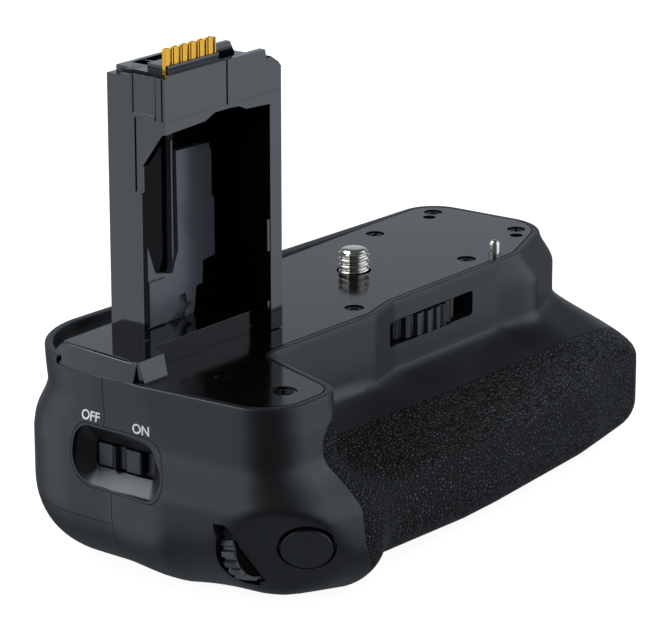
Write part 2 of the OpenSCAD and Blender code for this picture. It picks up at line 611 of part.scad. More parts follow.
// Slot that the slider fills, and its way
module switch_slot(x0, x1) {
  slab_x(knob_y - slide_travel / 2, slide_z, slider_l + slide_travel + 0.6, slider_h + 0.6, 0.6, x0, x1);
}
module switch_bezel() color("#1d2023") {
  difference() {
    intersection() {
      body_form();
      pocket(xl - 12, sw_back);
    }
    hull() {
      switch_slot(sw_floor - 1.4, sw_floor - 1.3);
      multmatrix([[1, 0, sw_lean, -sw_lean * sw_z], [0, 1, 0, 0], [0, 0, 1, 0], [0, 0, 0, 1]])
        pocket(xl - 9, xl - 0.5, -0.4);
    }
    switch_slot(sw_floor - 1.4, sw_floor);
    box([sw_floor - 5, knob_y - 2.3 - slide_travel, slide_z - 1.2], [sw_back + 5, knob_y + 2.3, slide_z + 1.2]);
  }
}

module switch_slider() color("#202427") {
  l = slider_l / 2;
  translate([sw_floor, knob_y, slide_z - slider_h / 2]) rotate([0, 0, 90]) linear_extrude(slider_h)
    polygon([[l, 0.1], [l, 1.2], [l - 0.4, 1.6], [1.5, 1.6], [1, 2.1], [0.4, 2.1], [0.1, 0.9], [-1.2, 0.9], [-1.6, 1.6],
             [0.4 - l, 1.6], [-l, 1.2], [-l, 0.1]]);
  box([sw_floor - 0.2, knob_y - 2, slide_z - 1], [sw_back + 1.6, knob_y + 2, slide_z + 1]);
}

module slide_switch() color("#2e3236") {
  difference() {
    box([sw_back, knob_y - 6.5, slide_z - 3], [sw_back + 4, knob_y + 4.5, slide_z + 3]);
    box([sw_back - 1, knob_y - 2.3 - slide_travel, slide_z - 1.3], [sw_back + 2, knob_y + 2.3, slide_z + 1.3]);
  }
}

module shutter_ring() color("#2a2e32") {
  at_button() translate([0, 0, -4]) difference() {
    cylinder(d = button_d + 1.1, h = 3.2, $fn = 64);
    translate([0, 0, -1]) cylinder(d = button_d + 0.3, h = 6, $fn = 64);
  }
}

module shutter_button() color("#33383c") {
  at_button() {
    translate([0, 0, -4.6]) cylinder(d = button_d, h = 4.6 + flat_h + button_up, $fn = 64);
    translate([0, 0, -5.3]) cylinder(d = button_d + 0.9, h = 1, $fn = 64);
  }
}

module shutter_switch() color("#3c4044") {
  at_button() translate([0, 0, -10.2]) cylinder(d = 7, h = 4.8 - button_press - 0.2, $fn = 48);
}

module command_dial() color("#8c9093") {
  n = 19;
  at_dial() rotate([90, 0, 0]) translate([0, 0, -dial_w / 2]) difference() {
    linear_extrude(dial_w) polygon([for (i = [0:n - 1]) each [
      for (k = [[0.1, 0.7], [0.22, 0], [0.78, 0], [0.9, 0.7]]) let(a = 360 * (i + k[0]) / n)
        (dial_r - k[1]) * [cos(a), sin(a)]]]);
    translate([0, 0, -1]) cylinder(d = axle_d + 2 * run, h = dial_w + 2, $fn = 48);
  }
}

module dial_axle() color("#a9abad") {
  at_dial() bar_y(axle_d, -dial_w / 2 - 1.6, dial_w / 2 + 1.6);
}

module dial_holder() color("#3a3d40") {
  at_dial() difference() {
    union() {
      for (s = [-1, 1]) translate([0, s * (dial_w / 2 + 1.1), 0]) box([-2.2, -0.7, -2.4], [9.4, 0.7, 2.4]);
      box([dial_r + 0.7, -dial_w / 2 - 1.8, -2.4], [9.4, dial_w / 2 + 1.8, 2.4]);
    }
    bar_y(axle_d + 0.02, -10, 10);
  }
}

module main_board() color("#1f4a2c") {
  box([board_x, 7.2 - lobe, room_z + 0.2], [board_x + board_t, 4.8, -6.2]);
}

module rear_button(i) {
  translate([rear_x + i * rear_pitch, 0, rear_z]) {
    bar_y(rear_d, rear_in - 0.6, rear_face + 0.4);
    bar_y(rear_d + 1.2, rear_in - 1.2, rear_in - 0.2);
  }
}
module exposure_button() color("#2a2e32") rear_button(0);
module lock_button() color("#2a2e32") rear_button(1);
module focus_button() color("#2a2e32") rear_button(2);

module rear_switches() color("#3c4044") {
  box([rear_x - 5.8, rear_in - 5.9, rear_z - 4.3], [rear_x + 2 * rear_pitch + 5.8, rear_in - 5.9 + board_t, rear_z + 4.3]);
  for (i = [0:2]) translate([rear_x + i * rear_pitch, 0, rear_z])
    box([-2, rear_in - 6 + board_t, -2], [2, rear_in - 1.4 - rear_press, 2]);
}

module magazine_tray() color("#24282b") {
  w = tray_w / 2;
  difference() {
    box([tray_x0, mid_y - w, tray_z0], [cap_x, mid_y + w, tray_z1]);
    for (i = [0:1]) translate([tray_x0 + tray_t + i * (bay_l + tray_t), mid_y, tray_z0 + tray_t])
      box([0, -bay_w / 2, 0], [bay_l, bay_w / 2, 30]);
    box([tray_x1, mid_y - bay_w / 2, tray_z0 - 1], [cap_x + 1, mid_y + bay_w / 2, tray_z1 + 1]);
    for (i = [0:1]) translate([tray_x0 + tray_t + i * (bay_l + tray_t) + bay_l / 2, mid_y, tray_z0 - 1]) cylinder(d = 14, h = 5, $fn = 48);
  }
}

module tray_contacts() color("#c8a24a") {
  for (i = [0:1]) for (y = [-6, 0, 6]) translate([tray_x0 + tray_t + i * (bay_l + tray_t), mid_y + y, tray_z0])
    box([0, -1.2, 3], [0.7, 1.2, 11]);
}

module bay_contacts() color("#c8a24a") {
  translate([tun_x0, mid_y, tun_z0]) {
    box([-1.9, -5.9, 2.9], [-0.2, 5.9, 10.9]);
    for (y = [-4, 0, 4]) translate([0, y, 0]) box([-0.3, -1, 4], [0.4, 1, 9.6]);
  }
}

module magazine_cap() color("#24282b") {
  w = tray_w / 2;
  difference() {
    box([cap_x, mid_y - w, tray_z0], [end_right, mid_y + w, tray_z1]);
    translate([0, mid_y, knob_z()]) bar_x(knob_d + 0.8, cap_x + 0.8, end_right + 5);
    translate([0, mid_y, knob_z()]) bar_x(spindle_d + 2 * run, cap_x - 5, end_right + 5);
  }
}
function knob_z() = (tray_z0 + tray_z1) / 2;

module latch_knob() color("#33373a") {
  translate([0, mid_y, knob_z()]) {
    bar_x(knob_d, cap_x + 0.9, cap_x + 1.3);
    bar_x(spindle_d, tray_x1 + 0.2, cap_x + 1);
    box([cap_x + 1.2, -knob_d / 2 + 0.8, -1.1], [end_right + 0.2, knob_d / 2 - 0.8, 1.1]);
  }
}

module latch_tongue() color("#a9abad") {
  translate([0, mid_y, knob_z()]) difference() {
    union() {
      bar_x(spindle_d + 3, tray_x1 + 0.4, tray_x1 + 0.4 + tongue_t);
      box([tray_x1 + 0.4, 0, -1.8], [tray_x1 + 0.4 + tongue_t, 10.6, 1.8]);
    }
    bar_x(spindle_d + 0.02, tray_x1 - 5, cap_x + 5);
  }
}

front_shell();
rear_shell();
rubber_grip();
deck_plate();
deck_screws();
locating_pin();
attach_screw();
thumbwheel();
wheel_bracket();
bottom_cover();
cover_screws();
tripod_socket();
rubber_feet();
tower_base();
tower_frame();
tower_liner();
door_clip();
tower_cap();
contact_block();
contact_pins();
switch_bezel();
switch_slider();
slide_switch();
shutter_ring();
shutter_button();
shutter_switch();
command_dial();
dial_axle();
dial_holder();
main_board();
exposure_button();
lock_button();
focus_button();
rear_switches();
magazine_tray();
tray_contacts();
bay_contacts();
magazine_cap();
latch_knob();
latch_tongue();
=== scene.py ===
import math

import bpy
from mathutils import Matrix, Vector


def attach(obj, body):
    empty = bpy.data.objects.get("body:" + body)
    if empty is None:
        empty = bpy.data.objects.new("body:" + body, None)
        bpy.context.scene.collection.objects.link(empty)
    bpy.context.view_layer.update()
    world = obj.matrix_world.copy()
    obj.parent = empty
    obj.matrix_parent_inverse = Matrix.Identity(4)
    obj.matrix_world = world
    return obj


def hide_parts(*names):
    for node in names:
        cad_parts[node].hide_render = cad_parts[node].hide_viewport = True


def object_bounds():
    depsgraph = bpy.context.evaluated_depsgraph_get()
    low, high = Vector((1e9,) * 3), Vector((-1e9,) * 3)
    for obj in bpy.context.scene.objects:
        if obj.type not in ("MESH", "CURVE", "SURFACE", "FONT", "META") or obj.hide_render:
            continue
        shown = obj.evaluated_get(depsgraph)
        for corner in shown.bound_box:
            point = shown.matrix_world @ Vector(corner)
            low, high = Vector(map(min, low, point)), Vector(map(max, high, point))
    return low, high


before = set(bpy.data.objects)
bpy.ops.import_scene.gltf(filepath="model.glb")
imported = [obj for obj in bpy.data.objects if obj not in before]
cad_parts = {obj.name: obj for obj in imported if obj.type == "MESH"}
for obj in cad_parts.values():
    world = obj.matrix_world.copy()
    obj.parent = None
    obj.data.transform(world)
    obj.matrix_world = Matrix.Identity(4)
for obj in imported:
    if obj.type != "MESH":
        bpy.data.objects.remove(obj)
CAD_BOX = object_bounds()

bl_info = {
    "name": "Camera battery grip",
    "version": (1, 0, 0),
    "blender": (4, 5, 0),
    "location": "View3D > Sidebar > Battery grip",
    "description": "Dresses the packed battery grip with its moulded, polished and plated pieces",
    "category": "Object",
}

MM = 0.001

# Camera fitted to the picture: width and focal length in pixels, place in millimetres, turn and dip in degrees
IMAGE_W, FOCAL, SENSOR = 669, 3400, 36.0
EYE, TURN, DIP = (-520.9, -402.0, 197.3), -52, 17.4

# The housing's rings are finer than the solids' and stand 0.008 mm proud of them, so they are drawn in by as much
DRAW_IN = 0.99985

# Sizes in millimetres that several pieces share
SCREW_HOLE_R = 3.525
GAP = 0.1
NECK_DEPTH = 6.5
LEAST_ROUND = 0.5
FLAT_BLEND = 1.6
SWITCH_Z = -14.9


def linear(code):
    """sRGB hex to linear red, green and blue."""
    parts = [int(code[i:i + 2], 16) / 255 for i in (1, 3, 5)]
    return tuple(c / 12.92 if c <= 0.04045 else ((c + 0.055) / 1.055) ** 2.4 for c in parts)


def length(label, words, mm):
    """Property for a length, given in millimetres."""
    return bpy.props.FloatProperty(name=label, description=words, default=mm * MM, min=0.0,
                                   subtype="DISTANCE", unit="LENGTH")


def colour(label, words, code):
    """Property for a colour, given as sRGB hex."""
    return bpy.props.FloatVectorProperty(name=label, description=words, default=linear(code), size=3,
                                         min=0.0, max=1.0, subtype="COLOR")


class GripSizes(bpy.types.PropertyGroup):
    end_left: length("Control end", "Screw axis to the control end", 83.8)
    end_right: length("Magazine end", "Screw axis to the magazine end", 52.0)
    rear: length("Rear wall", "Screw axis to the rear wall", 19.4)
    wall: length("Wheel wall", "Screw axis to the wall with the thumbwheel", 19.4)
    lobe: length("Lobe", "Screw axis to the front of the lobe", 44.3)
    crest: length("Grip crest", "Screw axis to the crest of the grip", 46.6)
    shelf: length("Shelf depth", "Deck to the shelf of the grip", 13.6)
    body_h: length("Housing height", "Deck to the bottom", 38.5)
    rim_w: length("Rim width", "Raised rim round the deck", 1.6)
    deck_t: length("Deck thickness", "Thickness of the deck plate", 1.5)
    rubber_t: length("Rubber thickness", "Thickness of the rubber skin", 1.2)
    seam: length("Seam", "Half the width of the parting lines", 0.12)
    thread_pitch: length("Thread pitch", "Pitch of the camera screw", 1.27)
    letter_h: length("Lettering", "Height of the switch lettering", 2.55)


class GripColours(bpy.types.PropertyGroup):
    housing: colour("Housing", "Moulded housing", "#0B0D10")
    rubber: colour("Rubber", "Rubber skin", "#0A0B0C")
    deck: colour("Deck", "Painted deck plate", "#060606")
    tower: colour("Tower", "Polished tower", "#050506")
    # The liner's grey is painted reflection of the light on a black plate
    liner: colour("Liner", "Inner plate of the tower", "#4B5058")
    control: colour("Controls", "Buttons and slider", "#0C0E11")
    nickel: colour("Nickel", "Plated screw and pin", "#CFCBC0")
    gold: colour("Gold", "Plated contacts", "#D7A23C")
    print_ink: colour("Lettering", "Printed lettering", "#E9E9E6")


def mm(name):
    """Size in millimetres from the scene's properties."""
    return getattr(bpy.context.scene.grip_sizes, name) / MM


# Small tools for modelling

def clear():
    """Object mode with nothing selected."""
    if bpy.context.mode != "OBJECT":
        bpy.ops.object.mode_set(mode="OBJECT")
    bpy.ops.object.select_all(action="DESELECT")


def pick(obj):
    """Select one object alone."""
    clear()
    obj.select_set(True)
    bpy.context.view_layer.objects.active = obj
    return obj


def edit(obj):
    """Edit mode with every point selected."""
    pick(obj)
    bpy.ops.object.mode_set(mode="EDIT")
    bpy.ops.mesh.select_mode(type="VERT")
    bpy.ops.mesh.select_all(action="SELECT")


def modify(obj, kind, **settings):
    """Add a modifier and apply it."""
    pick(obj)
    m = obj.modifiers.new(kind.lower(), kind)
    for key, value in settings.items():
        setattr(m, key, value)
    bpy.ops.object.modifier_apply(modifier=m.name)
    return obj


def bevel(obj, width, segments=2):
    """Round the sharp edges, by a width in millimetres."""
    return modify(obj, "BEVEL", width=width * MM, segments=segments, limit_method="ANGLE",
                  angle_limit=math.radians(30), use_clamp_overlap=True, miter_outer="MITER_ARC")


def smooth_by_angle(obj, angle):
    """Smooth shading, with edges sharper than the angle kept."""
    pick(obj)
    bpy.ops.object.shade_smooth_by_angle(angle=math.radians(angle))
    return obj


def cut(obj, *tools, operation="DIFFERENCE"):
    """Boolean with each tool in turn; the tools are used up."""
    for tool in tools:
        modify(obj, "BOOLEAN", operation=operation, object=tool, solver="EXACT")
        bpy.data.objects.remove(tool)
    return obj


def join(*objs):
    """Make one object of several."""
    clear()
    for o in objs:
        o.select_set(True)
    bpy.context.view_layer.objects.active = objs[0]
    bpy.ops.object.join()
    return objs[0]


def place(obj):
    """Move the object's place into its mesh."""
    pick(obj)
    bpy.ops.object.transform_apply(location=True, rotation=True, scale=True)
    return obj


def block(low, high):
    """Box between two corners, in millimetres."""
    clear()
    mid = [(a + b) / 2 * MM for a, b in zip(low, high)]
    bpy.ops.mesh.primitive_cube_add(size=1, location=mid)
    obj = bpy.context.object
    obj.scale = [(b - a) * MM for a, b in zip(low, high)]
    return place(obj)


def rod(a, b, r, r_end=None, sides=64):
    """Round bar or cone from a to b, in millimetres."""
    clear()
    a, b = Vector(a), Vector(b)
    turn = (b - a).to_track_quat("Z", "Y").to_euler()
    bpy.ops.mesh.primitive_cone_add(vertices=sides, radius1=r * MM,
                                    radius2=(r if r_end is None else r_end) * MM, depth=(b - a).length * MM,
                                    location=(a + b) / 2 * MM, rotation=turn)
    return place(bpy.context.object)


def prism(outline, push):
    """Flat outline of points, in millimetres, pushed along a vector."""
    clear()
    bpy.ops.mesh.primitive_circle_add(vertices=len(outline), radius=MM, fill_type="NGON")
    obj = bpy.context.object
    for vert, p in zip(obj.data.vertices, outline):
        vert.co = Vector(p) * MM
    edit(obj)
    bpy.ops.mesh.extrude_region_move(TRANSFORM_OT_translate={"value": Vector(push) * MM})
    bpy.ops.mesh.select_all(action="SELECT")
    bpy.ops.mesh.normals_make_consistent(inside=False)
    bpy.ops.object.mode_set(mode="OBJECT")
    return obj


def skin(rings):
    """Closed surface through rings of equal count, in millimetres, from a grid that is wrapped round."""
    clear()
    n, m = len(rings[0]), len(rings)
    bpy.ops.mesh.primitive_grid_add(x_subdivisions=n, y_subdivisions=m - 1, size=1)
    obj = bpy.context.object
    flat = []
    for ring in rings:
        for i in range(n + 1):
            flat.extend(c * MM for c in ring[i % n])
    obj.data.vertices.foreach_set("co", flat)
    edit(obj)
    bpy.ops.mesh.remove_doubles(threshold=1e-7)
    bpy.ops.mesh.select_all(action="DESELECT")
    bpy.ops.mesh.select_non_manifold(extend=False, use_wire=False, use_boundary=True, use_multi_face=False,
                                     use_non_contiguous=False, use_verts=False)
    bpy.ops.mesh.fill_holes(sides=0)
    bpy.ops.mesh.select_all(action="SELECT")
    bpy.ops.mesh.normals_make_consistent(inside=False)
    bpy.ops.object.mode_set(mode="OBJECT")
    return obj


def turned(profile, at, axis, sides=64):
    """Turned piece: (radius, height) profile about an axis through a point, in millimetres."""
    turn = Vector(axis).to_track_quat("Z", "Y").to_matrix()
    rings = []
    for r, h in profile:
        rings.append([Vector(at) + turn @ Vector((r * math.cos(a), r * math.sin(a), h))
                      for a in (2 * math.pi * k / sides for k in range(sides))])
    return skin(rings)


def copy_node(node):
    """New object from a CAD node's mesh, with its doubles merged and its flat faces made whole."""
    clear()
    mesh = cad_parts[node].data.copy()
    mesh.materials.clear()
    obj = bpy.data.objects.new(node, mesh)
    bpy.context.scene.collection.objects.link(obj)
    edit(obj)
    bpy.ops.mesh.customdata_custom_splitnormals_clear()
    bpy.ops.mesh.remove_doubles(threshold=2e-6)
    bpy.ops.mesh.dissolve_limited(angle_limit=math.radians(0.5))
    bpy.ops.mesh.normals_make_consistent(inside=False)
    bpy.ops.object.mode_set(mode="OBJECT")
    return obj


def settle(obj, name, body, material, nodes=(), angle=30, flat=False):
    """Name a finished piece, give it its material and tie it to its body; flat keeps wide faces flat."""
    smooth_by_angle(obj, angle)
    if flat:
        modify(obj, "WEIGHTED_NORMAL", keep_sharp=True)
    obj.name = name
    obj.data.name = name
    obj.data.materials.clear()
    obj.data.materials.append(material)
    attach(obj, body)
    if nodes:
        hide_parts(*nodes)
    return obj


# Housing form: the same outline as the solids, with more points

def ease(t):
    """Smooth step from 0 to 1."""
    c = min(max(t, 0.0), 1.0)
    return c * c * (3 - 2 * c)


def mix(a, b, t):
    """Value a share of the way from a to b."""
    return a + (b - a) * t


def form_rows():
    """Corner rows: deck x y round, neck x y, widest x y round, flare, bottom round, arc points,
    straight steps and rim rise."""
    xl, xr, rear, wall = -mm("end_left"), mm("end_right"), mm("rear"), mm("wall")
    lobe, crest, shelf = mm("lobe"), mm("crest"), mm("shelf")
    return [
        ((xr - 1.6, rear - 0.2, 8), (xr - 0.6, rear - 0.6), (xr + 0.2, rear + 0.2, 4.5), (9, 16),
         6, 10, 40, 0),
        ((xl + 2, rear + 0.2, 21), (xl + 2.2, rear), (xl - 2.2, rear + 2.6, 22), (5, 12),
         15, 22, 6, 1.6),
        ((xl, -4, 20), (xl + 0.6, -4), (xl - 1.4, -8, 14), (7, 15),
         14, 6, 6, 1.1),
        ((xl + 0.6, -16, 20), (xl + 1, -17), (xl - 2.8, -22, 12), (10, 20),
         12.6, 8, 12, 0.5),
        ((xl + 4.8, -lobe, 10), (xl + 4.6, -lobe - 0.5), (xl + 2, -lobe - 4.7, 14), (11, 21),
         16, 16, 6, 0),
        ((xl + 22.8, -lobe, 6.5), (xl + 23.2, -lobe - 0.5), (xl + 24, -lobe - 9.3, 9.5), (11, 21),
         11.5, 16, 12, 0),
        ((xl + 30.6, -wall - 1.5, 4), (xl + 30.6, -wall - 1.5), (xl + 35.8, -crest + 0.8, 14), (12, 23),
         9, 14, 14, 0),
        ((-21, -wall - 2.2, 8), (-21, -wall - 2.2), (-21, -crest, 20), (shelf, shelf + 8.9),
         8, 8, 4, 0),
        ((-12, -wall, 8), (-12, -wall), (-10, -crest, 20), (shelf, shelf + 8.9),
         8.5, 8, 16, 0),
        ((22, -wall, 8), (22, -wall), (23, -crest + 2.8, 20), (shelf, shelf + 8.9),
         8, 8, 4, 0),
        ((30.4, -wall - 0.2, 9), (32, -wall - 3), (33, -crest + 5.4, 20), (shelf - 1, shelf + 9.4),
         6.5, 8, 8, 0),
        ((xr, -11.5, 11), (xr + 1.6, -13.8), (xr + 1, -crest + 8.8, 12), (shelf - 0.6, shelf + 7.9),
         6.5, 16, 12, 0),
    ]


def arc(a, p, b, r, n):
    """Points of one rounded corner."""
    u, v = (a - p), (b - p)
    lu, lv = u.length, v.length
    u, v = u / lu, v / lv
    half = math.acos(min(max(u.dot(v), -1), 1)) / 2
    t = min(max(r / math.tan(half), 0.8), 0.9 * lu, 0.9 * lv)
    w = math.sin(half)
    out = []
    for j in range(n):
        k = j / (n - 1)
        q0, q1, q2 = (1 - k) ** 2, 2 * k * (1 - k) * w, k * k
        out.append((q0 * (p + u * t) + q1 * p + q2 * (p + v * t)) / (q0 + q1 + q2))
    return out


def section(rows, depth, inset=0.0):
    """Plan outline of the housing at a depth under the deck, with a skin taken off."""
    n, height = len(rows), mm("body_h")
    base, rounds, tucks = [], [], []
    for top, neck, wide, flare, bottom, _, _, _ in rows:
        a, s = ease(depth / NECK_DEPTH), ease((depth - inset - flare[0]) / (flare[1] - flare[0]))
        base.append(Vector([mix(mix(top[i], neck[i], a), wide[i], s) for i in (0, 1)]))
        rounds.append(mix(top[2], wide[2], s))
        r = bottom - inset
        h = min(r, bottom - height + depth)
        tucks.append(inset + (r - math.sqrt(r * r - h * h) if h > 0 else 0))
    pushed, signs = [], []
    for i, p in enumerate(base):
        e0, e1 = (p - base[i - 1]).normalized(), (base[(i + 1) % n] - p).normalized()
        n0, n1 = Vector((-e0.y, e0.x)), Vector((-e1.y, e1.x))
        pushed.append(p + tucks[i] * (n0 + n1) / (1 + n0.dot(n1)))
        signs.append(1 if n0.dot(e1) > 0 else -1)
    arcs = []
    for i, p in enumerate(pushed):
        r = max(rounds[i] - signs[i] * tucks[i], LEAST_ROUND)
        arcs.append(arc(pushed[i - 1], p, pushed[(i + 1) % n], r, rows[i][5]))
    out = []
    for i, points in enumerate(arcs):
        out.extend(points)
        steps, start, end = rows[i][6], points[-1], arcs[(i + 1) % n][0]
        out.extend(mix(start, end, j / steps) for j in range(1, steps))
    return out


def rim_rise(rows):
    """Height of the rim over the deck at each point of an outline."""
    out = []
    for i, row in enumerate(rows):
        after = rows[(i + 1) % len(rows)][7]
        out.extend([row[7]] * row[5])
        out.extend(mix(row[7], after, j / row[6]) for j in range(1, row[6]))
    return out


def button_place():
    """Centre and outward direction of the release button."""
    at = Vector((-mm("end_left") + 9.8, -mm("lobe") - 2.2, 12.5 - mm("body_h")))
    return at, Vector((-0.71975, -0.56031, -0.40992))


def dial_place():
    """Centre and axle of the command dial."""
    at = Vector((-mm("end_left") + 7.2, 8.8 - mm("lobe"), 11.2 - mm("body_h")))
    return at, Vector((0, 0.98325, -0.18224))


def pin_place():
    """Plan place of the locating pin."""
    return 26.1, 3.2 - mm("wall")


def shaped(point, inset=0.0):
    """Dip beside the dial and flat round the release button."""
    p = Vector(point)
    dip, reach, deep = Vector((-mm("end_left") + 1, -29, 4 - mm("body_h"))), 14, 1.7
    p += Vector((0.8, 0, 0.6)) * deep * ease(1 - (p - dip).length / reach)
    btn, out = button_place()
    over = (p - btn).dot(out) + inset - 0.2 + FLAT_BLEND
    if over <= 0:
        return p
    return p - out * (over * over / (4 * FLAT_BLEND) if over < 2 * FLAT_BLEND else over - FLAT_BLEND)


def depth_list(inset=0.0):
    """Depths of the rings, closer together where the form bends."""
    height, bottom, count = mm("body_h"), 16.0, 18
    out = [height - inset]
    for k in range(1, count + 1):
        out.append(height - inset - (bottom - inset) * (1 - math.cos(math.pi / 2 * k / count)))
    d = height - bottom
    for end, step in ((11, 0.62), (1.6, 0.95)):
        while d > end:
            d -= step
            out.append(d)
    return out


def housing_solid():
    """Closed form of the housing with its rim and the recess of the deck."""
    rows = form_rows()
    rise = rim_rise(rows)
    rim, floor = mm("rim_w"), mm("deck_t")
    rings = []
    for d in depth_list():
        lift = 1 - ease(d / 4)
        rings.append([shaped((p.x, p.y, u * lift - d)) for p, u in zip(section(rows, d), rise)])
    # Rounded rim and the wall of the recess: depth, inset, share of the rise
    edge = [(0.42, 0.0, 1), (0.2, 0.05, 1), (0.05, 0.2, 1), (0.0, 0.42, 1), (0.0, rim - 0.35, 1),
            (0.04, rim - 0.16, 1), (0.16, rim - 0.04, 1), (0.35, rim, 1), (floor, rim, 0)]
    for d, inset, lift in edge:
        rings.append([(p.x, p.y, u * lift - d) for p, u in zip(section(rows, d, inset), rise)])
    return skin([[(x * DRAW_IN, y * DRAW_IN, z) for x, y, z in ring] for ring in rings])


def inner_form(inset):
    """The form with a skin taken off, for the seat of the rubber."""
    rows = form_rows()
    return skin([[shaped((p.x, p.y, -d), inset) for p in section(rows, d, inset)]
                 for d in depth_list(inset)])


def half(front, gap):
    """Room in front of or behind the stepped parting line."""
    upper, lower, step, end = -6.4, -9.7, -15.0, -130
    far, s = (-120.0, -gap) if front else (60.0, gap)
    line = [(far, 25), (upper + s, 25), (upper + s, step), (lower + s, step), (lower + s, -60), (far, -60)]
    return prism([(end, y, z) for y, z in line], (220, 0, 0))


def rubber_zone(grow):
    """Area of the front that the rubber covers, pushed back from the front."""
    xl, far = -mm("end_left"), mm("end_right") + 10
    high, low, front, steps = -2.6, mm("rubber_t") + 0.2 - mm("body_h"), -70, 6
    seam = [(23.8, high), (20.3, -4), (17.6, -6.6), (16.8, -9.5), (17.4, -12.5), (18.3, -15.4), (18.8, -21),
            (19.8, -27), (22.4, -32), (25.4, low)]
    points = []
    for i in range(len(seam) - 1):
        near = seam[max(i - 1, 0)], seam[i], seam[i + 1], seam[min(i + 2, len(seam) - 1)]
        for k in range(steps):
            t = k / steps
            # Smooth curve through the seam's points
            points.append(tuple(0.5 * (2 * b + (c - a) * t + (2 * a - 5 * b + 4 * c - d) * t * t
                                       + (3 * b - a - 3 * c + d) * t ** 3) for a, b, c, d in zip(*near)))
    points.append(seam[-1])
    line = [(xl + x - grow, z) for x, z in points]
    line += [(far, low - grow), (far, high + grow), (line[0][0], high + grow)]
    return prism([(x, front, z) for x, z in line], (0, 70 - mm("crest") + 16.6 + grow, 0))


# Materials

def add(tree, kind, inputs=None, **settings):
    """Add one node; inputs maps a socket to a value or to an output that feeds it."""
    made = tree.nodes.new(kind)
    for key, value in settings.items():
        setattr(made, key, value)
    for key, value in (inputs or {}).items():
        if isinstance(value, bpy.types.NodeSocket):
            tree.links.new(value, made.inputs[key])
        else:
            made.inputs[key].default_value = value
    return made


def start(name, tint, **sockets):
    """New material; returns the material, its tree, its Principled shader and Object coordinates."""
    mat = bpy.data.materials.new(name)
    mat.use_nodes = True
    tree = mat.node_tree
    shader = tree.nodes["Principled BSDF"]
    shader.inputs["Base Color"].default_value = (*tint, 1)
    for key, value in sockets.items():
        shader.inputs[key.replace("_", " ")].default_value = value
    return mat, tree, shader, add(tree, "ShaderNodeTexCoord").outputs["Object"]


def grained(name, tint, grain_mm, relief_mm, rough, spread, shade=0.12, **sockets):
    """Surface with one grain size: relief, a spread of roughness and a slight change of shade."""
    mat, tree, shader, where = start(name, tint, **sockets)
    patch_mm = 18.18
    fine = add(tree, "ShaderNodeTexNoise", {"Vector": where, "Scale": 1 / (grain_mm * MM), "Detail": 3.0,
                                            "Roughness": 0.6})
    broad = add(tree, "ShaderNodeTexNoise", {"Vector": where, "Scale": 1 / (patch_mm * MM), "Detail": 4.0})
    rub = add(tree, "ShaderNodeMapRange", {"Value": broad.outputs["Fac"], "From Min": 0.3, "From Max": 0.7,
                                           "To Min": rough - spread, "To Max": rough + spread})
    tree.links.new(rub.outputs["Result"], shader.inputs["Roughness"])
    dark = tuple(c * (1 - shade) for c in tint)
    pale = tuple(min(c * (1 + shade), 1) for c in tint)
    ramp = add(tree, "ShaderNodeMix", {"Factor": fine.outputs["Fac"]}, data_type="RGBA")
    ramp.inputs["A"].default_value = (*dark, 1)
    ramp.inputs["B"].default_value = (*pale, 1)
    tree.links.new(ramp.outputs["Result"], shader.inputs["Base Color"])
    bump = add(tree, "ShaderNodeBump", {"Height": fine.outputs["Fac"], "Strength": 1.0,
                                        "Distance": relief_mm * MM})
    tree.links.new(bump.outputs["Normal"], shader.inputs["Normal"])
    return mat


def painted_shade_box(mat, low, high):
    """Painted shade: make the faces inside a box, in millimetres, dull and black, standing in for the deep shade in
    there.
    """
    tree = mat.node_tree
    shader = tree.nodes["Principled BSDF"]
    spot = add(tree, "ShaderNodeSeparateXYZ", {0: add(tree, "ShaderNodeTexCoord").outputs["Object"]})
    inside = 1.0
    for axis, a, b in zip("XYZ", low, high):
        within_shade_box = add(tree, "ShaderNodeMath", {0: spot.outputs[axis], 1: (a + b) / 2 * MM, 2: (b - a) / 2 * MM},
                     operation="COMPARE")
        inside = add(tree, "ShaderNodeMath", {0: within_shade_box.outputs[0], 1: inside}, operation="MULTIPLY").outputs[0]
    # Painted shade: inside the box the shine drops almost to nothing, so the hollow renders black
    shine = add(tree, "ShaderNodeMapRange", {"Value": inside, "To Min": 0.5, "To Max": 0.03})
    tree.links.new(shine.outputs["Result"], shader.inputs["Specular IOR Level"])
    return mat


